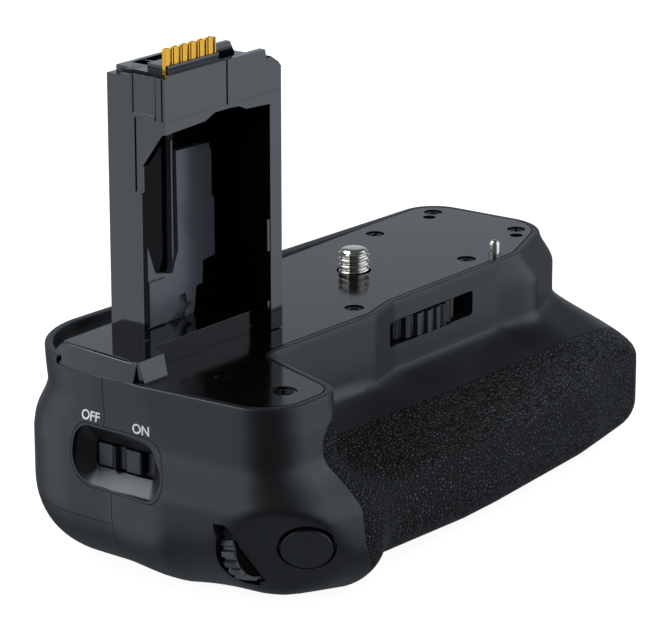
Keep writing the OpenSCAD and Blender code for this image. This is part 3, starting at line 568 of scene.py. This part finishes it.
def leather_rubber_painted_light(name, tint):
    """Rubber moulded with leather grain: rounded pebbles with painted highlight on their tops and painted shade in
    the dark creases between.
    """
    mat, tree, shader, where = start(name, tint, Roughness=0.46)
    pebble_mm, relief_mm, bend_mm, bend_by_mm = 0.85, 0.3, 2.2, 0.45
    warp = add(tree, "ShaderNodeTexNoise", {"Vector": where, "Scale": 1 / (bend_mm * MM), "Detail": 2.0})
    shift = add(tree, "ShaderNodeVectorMath", {0: warp.outputs["Color"], "Scale": bend_by_mm * MM},
                operation="SCALE")
    bent = add(tree, "ShaderNodeVectorMath", {0: where, 1: shift.outputs["Vector"]}, operation="ADD")
    cells = add(tree, "ShaderNodeTexVoronoi", {"Vector": bent.outputs["Vector"], "Scale": 1 / (pebble_mm * MM)},
                feature="DISTANCE_TO_EDGE")
    pebble = add(tree, "ShaderNodeMapRange", {"Value": cells.outputs["Distance"], "From Min": 0.02,
                                              "From Max": 0.4}, interpolation_type="SMOOTHSTEP")
    bump = add(tree, "ShaderNodeBump", {"Height": pebble.outputs["Result"], "Strength": 1.0,
                                        "Distance": relief_mm * MM})
    tree.links.new(bump.outputs["Normal"], shader.inputs["Normal"])
    # Painted light: pebble tops painted much paler and creases much darker than the rubber's own colour
    ramp = add(tree, "ShaderNodeMix", {"Factor": pebble.outputs["Result"]}, data_type="RGBA")
    ramp.inputs["A"].default_value = (*(c * 0.25 for c in tint), 1)
    ramp.inputs["B"].default_value = (*(c * 3.4 for c in tint), 1)
    tree.links.new(ramp.outputs["Result"], shader.inputs["Base Color"])
    # Painted shade: the creases hardly shine, as if in shadow
    shine = add(tree, "ShaderNodeMapRange", {"Value": pebble.outputs["Result"], "To Min": 0.12, "To Max": 0.62})
    tree.links.new(shine.outputs["Result"], shader.inputs["Specular IOR Level"])
    return mat


MATERIALS = {}


def make_materials():
    """Finishes of all the pieces."""
    c = bpy.context.scene.grip_colours
    put = MATERIALS.__setitem__
    # Glass-filled nylon, spark-eroded mould: semi-matte with a fine even grain, drawn at 0.5 mm so that it shows
    put("housing", grained("moulded_nylon", c.housing, 0.5, 0.012, 0.4, 0.03, IOR=1.5))
    # Thermoplastic rubber, moulded with leather grain: soft sheen and painted highlight on the pebbles, painted shade
    # in the black creases
    put("rubber", leather_rubber_painted_light("grained_rubber_painted_light", c.rubber))
    # Steel sheet with satin paint: smooth, with a slight orange peel
    put("deck", grained("satin_paint_steel", c.deck, 0.8, 0.001, 0.13, 0.02, shade=0.04, IOR=1.39,
                        Specular_Tint=(1, 0.94, 0.9, 1)))
    # ABS from a polished mould: clear reflections, hardly any texture
    tower = grained("polished_abs", c.tower, 3.0, 0.003, 0.08, 0.02, shade=0.05, IOR=1.68)
    # The tower's hollow gets painted shade: dull and black inside the box
    put("tower", painted_shade_box(tower, (-71.3, -12.05, 4.4), (-41.6, -0.1, 45.5)))
    # ABS from a less polished mould: softer reflections on the flange
    put("base", grained("semigloss_abs", c.tower, 0.8, 0.002, 0.1, 0.02, shade=0.06, IOR=1.6))
    # ABS from a satin mould: its even grey is painted reflection, standing in for the light the black plate mirrors
    put("liner", grained("satin_abs_painted_reflection", c.liner, 1.0, 0.004, 0.22, 0.04, shade=0.08, IOR=1.53))
    # Nickel plate on turned steel: bright, with faint turning marks
    put("nickel", grained("nickel_plate", c.nickel, 0.4, 0.003, 0.16, 0.05, shade=0.05, Metallic=1.0))
    # Gold flash on spring contacts: a warm shine, a little uneven
    put("gold", grained("gold_plate", c.gold, 0.4, 0.002, 0.22, 0.06, shade=0.08, Metallic=1.0))
    # Steel screws with black oxide: dark, with a dull shine on the edges
    put("screw", grained("black_oxide_steel", linear("#1A1A1B"), 0.3, 0.004, 0.36, 0.06, shade=0.1,
                         Metallic=0.9))
    # Stamped or drawn steel, bare: grey, half bright
    put("steel", grained("plain_steel", linear("#9A9B9D"), 0.5, 0.003, 0.3, 0.06, shade=0.06, Metallic=1.0))
    # ABS from a satin mould: buttons and wheel with a soft sheen
    put("control", grained("satin_button_abs", c.control, 0.6, 0.006, 0.34, 0.04, IOR=1.5))
    # Black ABS of the dial, painted paler grey as painted highlight for the ribs' bright reflections; the ribs also
    # shine more
    put("dial", grained("dial_abs_painted_highlight", linear("#2C2E31"), 0.6, 0.003, 0.26, 0.04, IOR=1.5))
    # Nylon from a grained mould: matt black tray and cap
    put("magazine", grained("magazine_nylon", linear("#0C0E10"), 0.5, 0.01, 0.44, 0.04, IOR=1.5))
    # Pad-printed ink: flat white
    put("ink", grained("white_print", c.print_ink, 0.3, 0.001, 0.5, 0.05, shade=0.03))
    # Glass-fibre board with solder lacquer: green, half bright
    put("board", grained("green_lacquer", linear("#1C4A2C"), 1.2, 0.004, 0.35, 0.05, shade=0.15))
    # Near black with hardly any shine: the dial cheeks' own dark face together with painted shade of the dial's slit
    put("dull", start("dull_black_painted_shade", linear("#050505"), Roughness=0.8, Specular_IOR_Level=0.08)[0])
    # Black ABS of the inner pieces: matt
    put("dark", grained("dark_mould", linear("#060607"), 0.6, 0.006, 0.5, 0.05))


# Soft boxes that shiny faces see: direction, cosines where the light starts and is full, strength
BOXES = (
    ((-0.7, 0.71, 0.05), 0.52, 0.9, 1.05),
    ((0.53, -0.82, 0.22), 0.58, 0.98, 1.5),
    ((0.8, 0.6, -0.05), 0.82, 1.0, 0.65),
    ((0, 0, -1), 0.5, 0.95, 0.22),
    ((0.78, -0.32, 0.54), 0.93, 0.995, 0.7),
)
# Strength of the dark surroundings between the boxes, and the cool colour of the light
AROUND, COOL = 0.1, (0.86, 0.95, 1.06, 1)


def studio(tree, aim):
    """Strength of the surroundings in one direction."""
    total = AROUND
    for axis, first, full, strength in BOXES:
        near = add(tree, "ShaderNodeVectorMath", {0: aim, 1: axis}, operation="DOT_PRODUCT")
        glow = add(tree, "ShaderNodeMapRange", {"Value": near.outputs["Value"], "From Min": first, "From Max": full,
                                                "To Min": 0.0, "To Max": strength}, interpolation_type="SMOOTHSTEP")
        total = add(tree, "ShaderNodeMath", {0: glow.outputs["Result"], 1: total}, operation="ADD").outputs[0]
    return total


# Operators, one for each piece or group of like pieces

class GRIP_OT_stage(bpy.types.Operator):
    """Floor, light and camera"""
    bl_idname = "grip.stage"
    bl_label = "Stage"

    def execute(self, context):
        scene = context.scene
        scene.view_settings.view_transform = "Standard"
        world = bpy.data.worlds.new("studio")
        scene.world = world
        world.use_nodes = True
        tree = world.node_tree
        tree.nodes.clear()
        path = add(tree, "ShaderNodeLightPath")
        seen = add(tree, "ShaderNodeMath", {0: path.outputs["Is Camera Ray"], 1: path.outputs["Is Transmission Ray"]},
                   operation="MAXIMUM")
        white = add(tree, "ShaderNodeBackground", {"Color": (1, 1, 1, 1), "Strength": 1.0})
        around = studio(tree, add(tree, "ShaderNodeTexCoord").outputs["Generated"])
        mirrored = add(tree, "ShaderNodeBackground", {"Color": COOL, "Strength": around})
        soft = add(tree, "ShaderNodeBackground", {"Color": (0.95, 0.98, 1, 1), "Strength": 0.7})
        inner = add(tree, "ShaderNodeMixShader", {0: path.outputs["Is Glossy Ray"], 1: soft.outputs[0],
                                                  2: mirrored.outputs[0]})
        both = add(tree, "ShaderNodeMixShader", {0: seen.outputs[0], 1: inner.outputs[0], 2: white.outputs[0]})
        add(tree, "ShaderNodeOutputWorld", {"Surface": both.outputs[0]})

        clear()
        under = CAD_BOX[0][2] - 0.2 * MM
        bpy.ops.mesh.primitive_grid_add(x_subdivisions=4, y_subdivisions=4, size=6, location=(0, 0, under))
        floor = place(bpy.context.object)
        floor.name = "floor"
        mat = bpy.data.materials.new("white_floor")
        mat.use_nodes = True
        tree = mat.node_tree
        tree.nodes.clear()
        path = add(tree, "ShaderNodeLightPath")
        back = add(tree, "ShaderNodeNewGeometry").outputs["Incoming"]
        sight = add(tree, "ShaderNodeVectorMath", {0: back, "Scale": -1.0}, operation="SCALE")
        around = studio(tree, sight.outputs["Vector"])
        # The eye sees near-white paper with a faint shadow, and shiny faces see the boxes through the floor
        paper = add(tree, "ShaderNodeBsdfDiffuse", {"Color": (0.3, 0.3, 0.3, 1)})
        bright = add(tree, "ShaderNodeEmission", {"Color": COOL, "Strength": around})
        glow = add(tree, "ShaderNodeEmission", {"Color": (1, 1, 1, 1), "Strength": 0.93})
        white = add(tree, "ShaderNodeAddShader", {0: glow.outputs[0], 1: paper.outputs[0]})
        inner = add(tree, "ShaderNodeMixShader", {0: path.outputs["Is Glossy Ray"], 1: paper.outputs[0],
                                                  2: bright.outputs[0]})
        both = add(tree, "ShaderNodeMixShader", {0: path.outputs["Is Camera Ray"], 1: inner.outputs[0],
                                                 2: white.outputs[0]})
        add(tree, "ShaderNodeOutputMaterial", {"Surface": both.outputs[0]})
        floor.data.materials.append(mat)

        aim = Vector((-0.04, 0, 0))
        for name, spot, size, watts in (("key_lamp", (-0.22, 0.5, 0.74), 0.5, 5.6),
                                        ("side_lamp", (-0.75, 0.1, 0.25), 0.4, 0.5)):
            lamp = bpy.data.lights.new(name, "AREA")
            lamp.shape = "SQUARE"
            lamp.size = size
            lamp.energy = watts
            lamp.color = (0.9, 0.96, 1.0)
            obj = bpy.data.objects.new(name, lamp)
            scene.collection.objects.link(obj)
            obj.location = spot
            obj.rotation_euler = (aim - Vector(spot)).to_track_quat("-Z", "Y").to_euler()

        camera = bpy.data.cameras.new("camera")
        camera.sensor_fit = "HORIZONTAL"
        camera.sensor_width = SENSOR
        camera.lens = SENSOR * FOCAL / IMAGE_W
        eye = bpy.data.objects.new("camera", camera)
        scene.collection.objects.link(eye)
        eye.location = Vector(EYE) * MM
        az, el = math.radians(TURN), math.radians(DIP)
        look = Vector((-math.sin(az) * math.cos(el), math.cos(az) * math.cos(el), -math.sin(el)))
        eye.rotation_euler = look.to_track_quat("-Z", "Y").to_euler()
        scene.camera = eye
        return {"FINISHED"}


def rounded(corners, n=8):
    """Outline with one round for each corner, from (a, b, round) rows."""
    spots = [Vector(c[:2]) for c in corners]
    out = []
    for i, p in enumerate(spots):
        corner = arc(spots[i - 1], p, spots[(i + 1) % len(spots)], corners[i][2], n)
        out.extend((q.x, q.y) for q in corner)
    return out


def pocket(grow):
    """Outline of the switch pocket in Y and Z, moved out a little."""
    y, z, w, h, g = -11.3, SWITCH_Z, 11.4, 5.9, grow
    return rounded([(y + w + g, z + h + g, 2.6), (y + w - 0.1 + g, z - h - g, 5.4),
                    (y - w - 1.4 - g, z + 0.5 - h - g, 3), (y + 4.4 - w - g, z + h - 0.4 + g, 4.6)], 12)


def slider_slot(grow):
    """Outline of the slider's slot in Y and Z, moved out a little."""
    y, z, w, h, r = -10.2, -15.2, 7.0 + grow, 2.55 + grow, 0.6
    return rounded([(y + w, z + h, r), (y + w, z - h, r), (y - w, z - h, r), (y - w, z + h, r)], 12)


def base_plan(grow):
    """Outline of the tower's flange, moved out a little."""
    xl, g = -mm("end_left"), grow
    tower, wide = -mm("end_left") + 12.1, 33.4
    return [(xl + 3.8 - g, 6 + g), (xl + 2.8 - g, -8), (xl + 2.4 - g, -11), (xl + 1.9 - g, -12.4),
            (xl + 2.4 - g, -15 - g), (xl + 8.8 + g, -15 - g), (tower - 1.2 + g, -9.6 - g),
            (tower + wide + g, -9.6 - g), (tower + wide + g, 4.9 + g), (xl + 18, 6 + g)]


def window(wide, y):
    """Outline of a window of the thumbwheel at one Y, given half its width."""
    low, high, r = -9.1, -4, 0.8
    return [(x, y, z) for x, z in rounded([(-wide, low, r), (wide, low, r), (wide, high, r), (-wide, high, r)])]


class GRIP_OT_housing(bpy.types.Operator):
    """Front and rear mouldings of the housing"""
    bl_idname = "grip.housing"
    bl_label = "Housing"

    def rooms(self, front):
        """Rooms of one half, as cutting tools."""
        xl, xr, lobe, low = -mm("end_left"), mm("end_right"), mm("lobe"), -mm("body_h")
        btn, out = button_place()
        dial, axle = dial_place()
        board = ((xl + 5, 5), (xl + 5, -22), (xl + 7, 9.5 - lobe), (xl + 12, 4.3 - lobe), (xl + 18.6, 4.3 - lobe),
                 (xl + 23, -28), (-59.3, -22), (-59.3, 5))
        cover = rounded([(-59.4, -33.1, 4), (34.1, -33.1, 4), (34.1, 10.1, 4), (-59.4, 10.1, 4)])
        rim = ((6.1, 9), (6.1, 0.35), (-15.2, 0.55), (-15.2, 9))
        tools = [
            # Control end, battery bay, bay contacts
            prism([(x, y, -30) for x, y in board], (0, 0, 24)),
            block((-57.3, -19.1, -32.9), (xr + 20, 17.0, -17.1)),
            block((-59.4, -7.05, -30.1), (-57.2, 4.95, -21.9)),
            # Thumbwheel, camera screw, wheel bracket
            rod((0, 0, -9.2), (0, 0, -4.0), 20.8, sides=128),
            rod((0, 0, -5.3), (0, 0, 5), SCREW_HOLE_R),
            block((-16.14, -13.1, -11.7), (16.14, 13.1, -8.8)),
            # Bottom cover, tripod socket
            prism([(x, y, low - 3) for x, y in cover], (0, 0, 4.8)),
            rod((0, 0, low - 2), (0, 0, low + 4.8), 6.1),
            # Switch pocket, tower flange, lower rim beside the flange
            prism([(xl - 12, y, z) for y, z in pocket(GAP)], (18, 0, 0)),
            prism([(x, y, 0) for x, y in base_plan(GAP)], (0, 0, 9)),
            prism([(xl - 6, y, z) for y, z in rim], (12, 0, 0)),
        ]
        if front:
            slit = ((2.2, 5.9), (0, 6), (-1.6, 4.4), (-1.6, 1.2), (-1.8, -1.7), (-2.2, -4.5), (-2, -7.7), (0.4, -7.1),
                    (2.3, -5.8), (3, -3.3), (2.7, -0.8), (2.1, 1.6), (1.7, 3.3))
            tools += [
                # Front window of the wheel, hollow of the grip
                prism(window(14.2, -26), (0, 15, 0)),
                block((-41.8, -32, low + 1.7), (32, -21.3, -21.6)),
                # Release button and its switch, dial and its slit
                rod(btn - out * 6.6, btn + out * 10, 5.45, sides=96),
                rod(btn - out * 10.4, btn - out * 5, 3.6),
                rod(dial - axle * 1.8, dial + axle * 1.8, 7.1, sides=96),
                prism([(xl - 12, dial.y + y, dial.z + z) for y, z in slit], (21, 0, 0)),
            ]
        else:
            tools += [
                # Latch, rear window of the wheel, rear switches
                block((48.3, -3.65, -18.1), (50.2, 9.35, -12.3)),
                prism(window(9, 26), (0, -12.6, 0)),
                block((-66.8, 10.9, -14.5), (-37.6, 16.9, -5.5)),
            ]
            # Rear buttons
            for x in (-60.8 + 8.6 * i for i in range(3)):
                tools.append(rod((x, 15.9, -10), (x, 30, -10), 3.15, sides=48))
        return tools

    def execute(self, context):
        seam = mm("seam")
        front = housing_solid()
        cut(front, half(True, seam), operation="INTERSECT")
        recess = rubber_zone(seam)
        cut(recess, inner_form(mm("rubber_t") + 0.05))
        cut(front, recess, *self.rooms(True))
        settle(front, "front_shell_moulding", "housing", MATERIALS["housing"], ["front_shell"])
        back = housing_solid()
        cut(back, half(False, 0.0), operation="INTERSECT")
        # Fine line round the rear of the control end, 0.09 mm deep
        line = block((-100, -9.5, -27.05), (-60, 24, -26.9))
        cut(line, inner_form(0.09))
        cut(back, line, *self.rooms(False))
        settle(back, "rear_shell_moulding", "housing", MATERIALS["housing"], ["rear_shell"])
        return {"FINISHED"}


class GRIP_OT_rubber(bpy.types.Operator):
    """Grained rubber skin of the front"""
    bl_idname = "grip.rubber"
    bl_label = "Rubber"

    def execute(self, context):
        grip = housing_solid()
        cut(grip, rubber_zone(0.0), operation="INTERSECT")
        cut(grip, inner_form(mm("rubber_t")))
        settle(grip, "grip_skin", "housing", MATERIALS["rubber"], ["rubber_grip"])
        return {"FINISHED"}


def deck_points():
    """Plan places of the deck screws."""
    xl, xr, lobe, wall, rear = -mm("end_left"), mm("end_right"), mm("lobe"), mm("wall"), mm("rear")
    return [(xl + 15.6, 22 - lobe), (xl + 15.8, 7.9 - lobe), (-20.2, 3.7 - wall), (23.7, rear - 6.7),
            (xr - 7.4, rear - 6.4), (20.5, 6.2 - wall), (xr - 7.3, -8.6)]


class GRIP_OT_deck(bpy.types.Operator):
    """Painted deck plate with its holes"""
    bl_idname = "grip.deck"
    bl_label = "Deck plate"

    def execute(self, context):
        thick = mm("deck_t")
        outline = [(p.x, p.y, -thick) for p in section(form_rows(), 0.0, mm("rim_w") + GAP)]
        plate = prism(outline, (0, 0, thick))
        pin_x, pin_y = pin_place()
        tools = [rod((0, 0, -5), (0, 0, 5), SCREW_HOLE_R), rod((pin_x, pin_y, -5), (pin_x, pin_y, 5), 0.77)]
        for i, (x, y) in enumerate(deck_points()):
            tools += [rod((x, y, -5), (x, y, 5), 1.0, sides=32), rod((x, y, -0.9), (x, y, 1), 1.95, sides=48)]
            # The screw on the lobe sits in a shallow ring
            if i == 1:
                tools.append(rod((x, y, -0.25), (x, y, 1), 2.6, sides=48))
        # Two shallow dents at the magazine end
        for x, y in ((40.9, 11.3), (40.9, -11.3)):
            tools.append(rod((x, y, -0.5), (x, y, 1), 1.3, 1.5, sides=32))
        cut(plate, *tools)
        settle(plate, "deck_plate_sheet", "housing", MATERIALS["deck"], ["deck_plate"])
        return {"FINISHED"}


class GRIP_OT_deck_screws(bpy.types.Operator):
    """Cross-head screws of the deck"""
    bl_idname = "grip.deck_screws"
    bl_label = "Deck screws"

    def execute(self, context):
        profile = [(0.02, -5.6), (0.95, -5.6), (0.95, -0.9), (1.85, -0.9), (1.85, -0.42), (1.6, -0.26), (0.9, -0.18),
                   (0.02, -0.15)]
        arm, half_width, bottom = 1.15, 0.26, -0.72
        screws = []
        for i, (x, y) in enumerate(deck_points()):
            screw = turned(profile, (x, y, 0), (0, 0, 1), 40)
            mid = Vector((x, y, bottom))
            # Cross recess, turned differently in each screw
            for turn in (0, 90):
                a = math.radians(37 * i + turn)
                along = Vector((math.cos(a), math.sin(a), 0)) * arm
                side = Vector((-math.sin(a), math.cos(a), 0)) * half_width
                cross = [mid + along + side, mid - along + side, mid - along - side, mid + along - side]
                cut(screw, prism(cross, (0, 0, 1)))
            screws.append(screw)
        settle(join(*screws), "deck_screw_set", "housing", MATERIALS["screw"], ["deck_screws"])
        return {"FINISHED"}


class GRIP_OT_camera_screw(bpy.types.Operator):
    """Threaded camera screw"""
    bl_idname = "grip.camera_screw"
    bl_label = "Camera screw"

    def execute(self, context):
        pitch, major, minor, sides = mm("thread_pitch"), 3.175, 2.6, 72
        top, run_out, steps = 4.25, 0.6, 44
        angles = [2 * math.pi * k / sides for k in range(sides)]
        rings = []

        def ring(z, radii):
            rings.append([(r * math.cos(a), r * math.sin(a), z) for r, a in zip(radii, angles)])

        for z, r in ((-10.4, 0.02), (-10.4, 2.375), (-0.3, 2.375), (-0.1, minor)):
            ring(z, [r] * sides)
        for k in range(steps + 1):
            z = top * k / steps
            # The thread runs out under the tip
            fade = min(1.0, 1.6 * (top - z) / run_out)
            turns = [(z / pitch - a / (2 * math.pi)) % 1.0 for a in angles]
            crests = [min(1.0, max(0.0, 1.25 - abs(2.9 * (t - 0.5)))) for t in turns]
            ring(z, [minor + (major - minor) * crest * fade for crest in crests])
        for z, r in ((4.45, 2.45), (4.6, 2.2), (4.68, 1.6), (4.7, 0.9), (4.7, 0.02)):
            ring(z, [r] * sides)
        settle(skin(rings), "camera_screw_thread", "wheel", MATERIALS["nickel"], ["attach_screw"], angle=50)
        return {"FINISHED"}


class GRIP_OT_locating_pin(bpy.types.Operator):
    """Domed locating pin"""
    bl_idname = "grip.locating_pin"
    bl_label = "Locating pin"

    def execute(self, context):
        r, straight, dome_h, tail_r, tail = 1.15, 2.35, 0.95, 0.75, -4.6
        dome = [(r * math.cos(t), straight + dome_h * math.sin(t)) for t in (math.radians(15 * k) for k in range(6))]
        profile = [(0.02, tail), (tail_r, tail), (tail_r, 0.0), (r, 0.0), *dome, (0.02, 3.3)]
        pin = turned(profile, (*pin_place(), 0), (0, 0, 1), 48)
        settle(pin, "locating_pin_dome", "housing", MATERIALS["nickel"], ["locating_pin"])
        return {"FINISHED"}


class GRIP_OT_bezel(bpy.types.Operator):
    """Dished pocket of the on/off switch"""
    bl_idname = "grip.bezel"
    bl_label = "Switch pocket"

    def execute(self, context):
        xl = -mm("end_left")
        bezel = housing_solid()
        cut(bezel, prism([(xl - 12, y, z) for y, z in pocket(0)], (16.4, 0, 0)), operation="INTERSECT")
        # Dish from the slot out to the leaning rim: depth and growth of each ring
        rings, lean = [], 0.2
        for depth, grow in ((3.4, 0), (2.35, 0), (2.1, 0.05), (1.95, 0.2)):
            rings.append([(xl + depth, y, z) for y, z in slider_slot(grow)])
        for depth, grow in ((-0.35, -0.62), (-0.55, -0.45), (-0.9, -0.4), (-9, -0.4)):
            rings.append([(xl + depth + lean * (z - SWITCH_Z), y, z) for y, z in pocket(grow)])
        cut(bezel, skin(rings))
        # Way of the slider's stem
        cut(bezel, block((xl - 3, -13.75, -16.4), (xl + 10, -6.65, -14.0)))
        settle(bezel, "switch_pocket", "housing", MATERIALS["housing"], ["switch_bezel"])
        return {"FINISHED"}


class GRIP_OT_lettering(bpy.types.Operator):
    """Printed lettering beside the switch"""
    bl_idname = "grip.lettering"
    bl_label = "Lettering"

    def execute(self, context):
        turn = Matrix(((0, 0, -1), (-1, 0, 0), (0, 1, 0))).to_euler()
        for words, y, z, shell in (("OFF", -3.2, -7.75, "rear_shell_moulding"),
                                   ("ON", -15.1, -8.1, "front_shell_moulding")):
            clear()
            bpy.ops.object.text_add(location=(-0.1, y * MM, z * MM), rotation=turn)
            text = bpy.context.object
            text.data.body = words
            text.data.size = mm("letter_h") * MM
            text.data.offset = 0.05 * MM
            text.data.align_x = "CENTER"
            text.data.align_y = "CENTER"
            bpy.ops.object.convert(target="MESH")
            text = place(bpy.context.object)
            modify(text, "SHRINKWRAP", target=bpy.data.objects[shell], wrap_method="PROJECT", use_project_x=True,
                   use_positive_direction=True, use_negative_direction=False, offset=0.02 * MM)
            settle(text, "lettering_" + words.lower(), "housing", MATERIALS["ink"])
        return {"FINISHED"}


class GRIP_OT_tower_base(bpy.types.Operator):
    """Flange of the tower with its ramped ear"""
    bl_idname = "grip.tower_base"
    bl_label = "Tower flange"

    def execute(self, context):
        base = bevel(copy_node("tower_base"), 0.35, 3)
        # Apron that slopes from the flange's top to the housing's edge
        xl, foot, top = -mm("end_left"), 0.3, 3.9
        edge = [p for p in section(form_rows(), 0.0, 0.35) if p.x < xl + 8 and -14.8 < p.y < 5.9]
        edge.sort(key=lambda p: p.y)
        inner = [(xl + 7, edge[-1].y), (xl + 7, edge[0].y)]
        low = [(p.x, p.y, foot) for p in edge] + [(x, y, foot) for x, y in inner]
        high = [(xl + 1.95 + (0.1 * max(p.y + 11, 0)), p.y, top) for p in edge] + [(x, y, top) for x, y in inner]
        base = join(base, bevel(skin([low, high]), 0.15))
        settle(base, "tower_flange", "housing", MATERIALS["base"], ["tower_base"], angle=50, flat=True)
        return {"FINISHED"}


class GRIP_OT_tower_liner(bpy.types.Operator):
    """Inner plate of the tower, with its arrow mark"""
    bl_idname = "grip.tower_liner"
    bl_label = "Tower liner"

    def execute(self, context):
        plate = copy_node("tower_liner")
        arrow = ((-56.5, 8.5), (-54.4, 8.8), (-53.9, 6.7), (-52.4, 6.5), (-54.9, 4.2), (-57.9, 6.4),
                 (-56.5, 6.6))
        cut(plate, prism([(x, -4, z) for x, z in arrow], (0, 3, 0)))
        bevel(plate, 0.15)
        settle(plate, "tower_liner_plate", "housing", MATERIALS["liner"], ["tower_liner"], angle=50,
               flat=True)
        return {"FINISHED"}


class GRIP_OT_dial(bpy.types.Operator):
    """Ribbed dial with dark cheeks, whose black is partly painted shade"""
    bl_idname = "grip.dial"
    bl_label = "Dial"

    def execute(self, context):
        at, axle = dial_place()
        right, up = Vector((1, 0, 0)), Vector((0, -axle.z, axle.y))
        outer, half_width, count, bore = 6.5, 1.4, 19, 0.98
        # One rib: share of the pitch and drop under the rim
        rib = ((0.12, 0.7), (0.27, 0.0), (0.73, 0.0), (0.88, 0.7))
        ribs = []
        for k in range(count):
            for share, drop in rib:
                a = 2 * math.pi * (k + share) / count
                ribs.append(at - axle * half_width + (right * math.cos(a) + up * math.sin(a)) * (outer - drop))
        dial = prism(ribs, axle * 2 * half_width)
        cut(dial, rod(at - axle * 3, at + axle * 3, bore))
        settle(dial, "command_dial_ribs", "dial", MATERIALS["dial"], ["command_dial"], angle=20)
        # Cheeks: sunk a little in the dial and a hair proud of it
        under, over = half_width - 0.1, half_width + 0.03
        profile = [(bore, under), (bore, over), (5.75, over), (5.8, under)]
        cheeks = [turned(profile, at, axle * side, 48) for side in (-1, 1)]
        # The cheeks' near black is partly painted shade for the dark side faces in the slit
        settle(join(*cheeks), "command_dial_cheeks", "dial", MATERIALS["dull"])
        return {"FINISHED"}


# Nodes that keep their solid shape and only need softened edges: name, body, slot, material, edge in mm
SOFTENED = (
    ("thumbwheel", "wheel", "control_plastic", "control", 0.12),
    ("bottom_cover", "housing", "housing_plastic", "housing", 0.2),
    ("rubber_feet", "housing", "grip_rubber", "rubber", 0.25),
    ("tower_frame", "housing", "tower_plastic", "tower", 0.22),
    ("door_clip", "housing", "tower_plastic", "tower", 0.2),
    ("tower_cap", "housing", "tower_plastic", "tower", 0.22),
    ("contact_block", "housing", "tower_plastic", "tower", 0.12),
    ("contact_pins", "housing", "contact_gold", "gold", 0.08),
    ("switch_slider", "slider", "control_plastic", "control", 0.3),
    ("shutter_ring", "housing", "control_plastic", "control", 0.1),
    ("shutter_button", "release", "control_plastic", "control", 0.4),
    ("exposure_button", "exposure", "control_plastic", "control", 0.3),
    ("lock_button", "lock", "control_plastic", "control", 0.3),
    ("focus_button", "focus", "control_plastic", "control", 0.3),
    ("magazine_tray", "magazine", "magazine_plastic", "magazine", 0.2),
    ("magazine_cap", "magazine", "magazine_plastic", "magazine", 0.3),
    ("latch_knob", "latch", "control_plastic", "control", 0.15),
)
# Nodes that stay as they are and only get a finish
INSIDE = {
    "wheel_bracket": "steel", "tray_contacts": "gold", "bay_contacts": "gold", "latch_tongue": "steel",
    "slide_switch": "dark", "shutter_switch": "dark", "dial_axle": "steel", "dial_holder": "dark",
    "main_board": "board", "rear_switches": "board", "cover_screws": "screw", "tripod_socket": "nickel",
}


class GRIP_OT_softened(bpy.types.Operator):
    """Pieces that keep their solid shape, with softened edges"""
    bl_idname = "grip.softened"
    bl_label = "Plain pieces"

    def execute(self, context):
        for node, body, slot, material, width in SOFTENED:
            obj = bevel(copy_node(node), width)
            settle(obj, node + "_piece", body, MATERIALS[material], [node], angle=50, flat=True)
        return {"FINISHED"}


class GRIP_OT_inside(bpy.types.Operator):
    """Finishes of the inner pieces"""
    bl_idname = "grip.inside"
    bl_label = "Inside"

    def execute(self, context):
        for node, material in INSIDE.items():
            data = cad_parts[node].data
            data.materials.clear()
            data.materials.append(MATERIALS[material])
        return {"FINISHED"}


STEPS = (GRIP_OT_stage, GRIP_OT_housing, GRIP_OT_rubber, GRIP_OT_deck, GRIP_OT_deck_screws, GRIP_OT_camera_screw,
         GRIP_OT_locating_pin, GRIP_OT_bezel, GRIP_OT_lettering, GRIP_OT_tower_base, GRIP_OT_tower_liner,
         GRIP_OT_dial, GRIP_OT_softened, GRIP_OT_inside)


class GRIP_PT_panel(bpy.types.Panel):
    """Steps of the battery grip"""
    bl_idname = "GRIP_PT_panel"
    bl_label = "Battery grip"
    bl_space_type = "VIEW_3D"
    bl_region_type = "UI"
    bl_category = "Battery grip"

    def draw(self, context):
        for group in (context.scene.grip_sizes, context.scene.grip_colours):
            for key in group.__annotations__:
                self.layout.prop(group, key)
        for step in STEPS:
            self.layout.operator(step.bl_idname)


CLASSES = (GripSizes, GripColours, *STEPS, GRIP_PT_panel)


def register():
    for cls in CLASSES:
        bpy.utils.register_class(cls)
    bpy.types.Scene.grip_sizes = bpy.props.PointerProperty(type=GripSizes)
    bpy.types.Scene.grip_colours = bpy.props.PointerProperty(type=GripColours)


def unregister():
    del bpy.types.Scene.grip_colours
    del bpy.types.Scene.grip_sizes
    for cls in reversed(CLASSES):
        bpy.utils.unregister_class(cls)


def main():
    register()
    make_materials()
    for step in STEPS:
        getattr(bpy.ops.grip, step.bl_idname.split(".")[1])()
    clear()


if __name__ == "__main__":
    main()
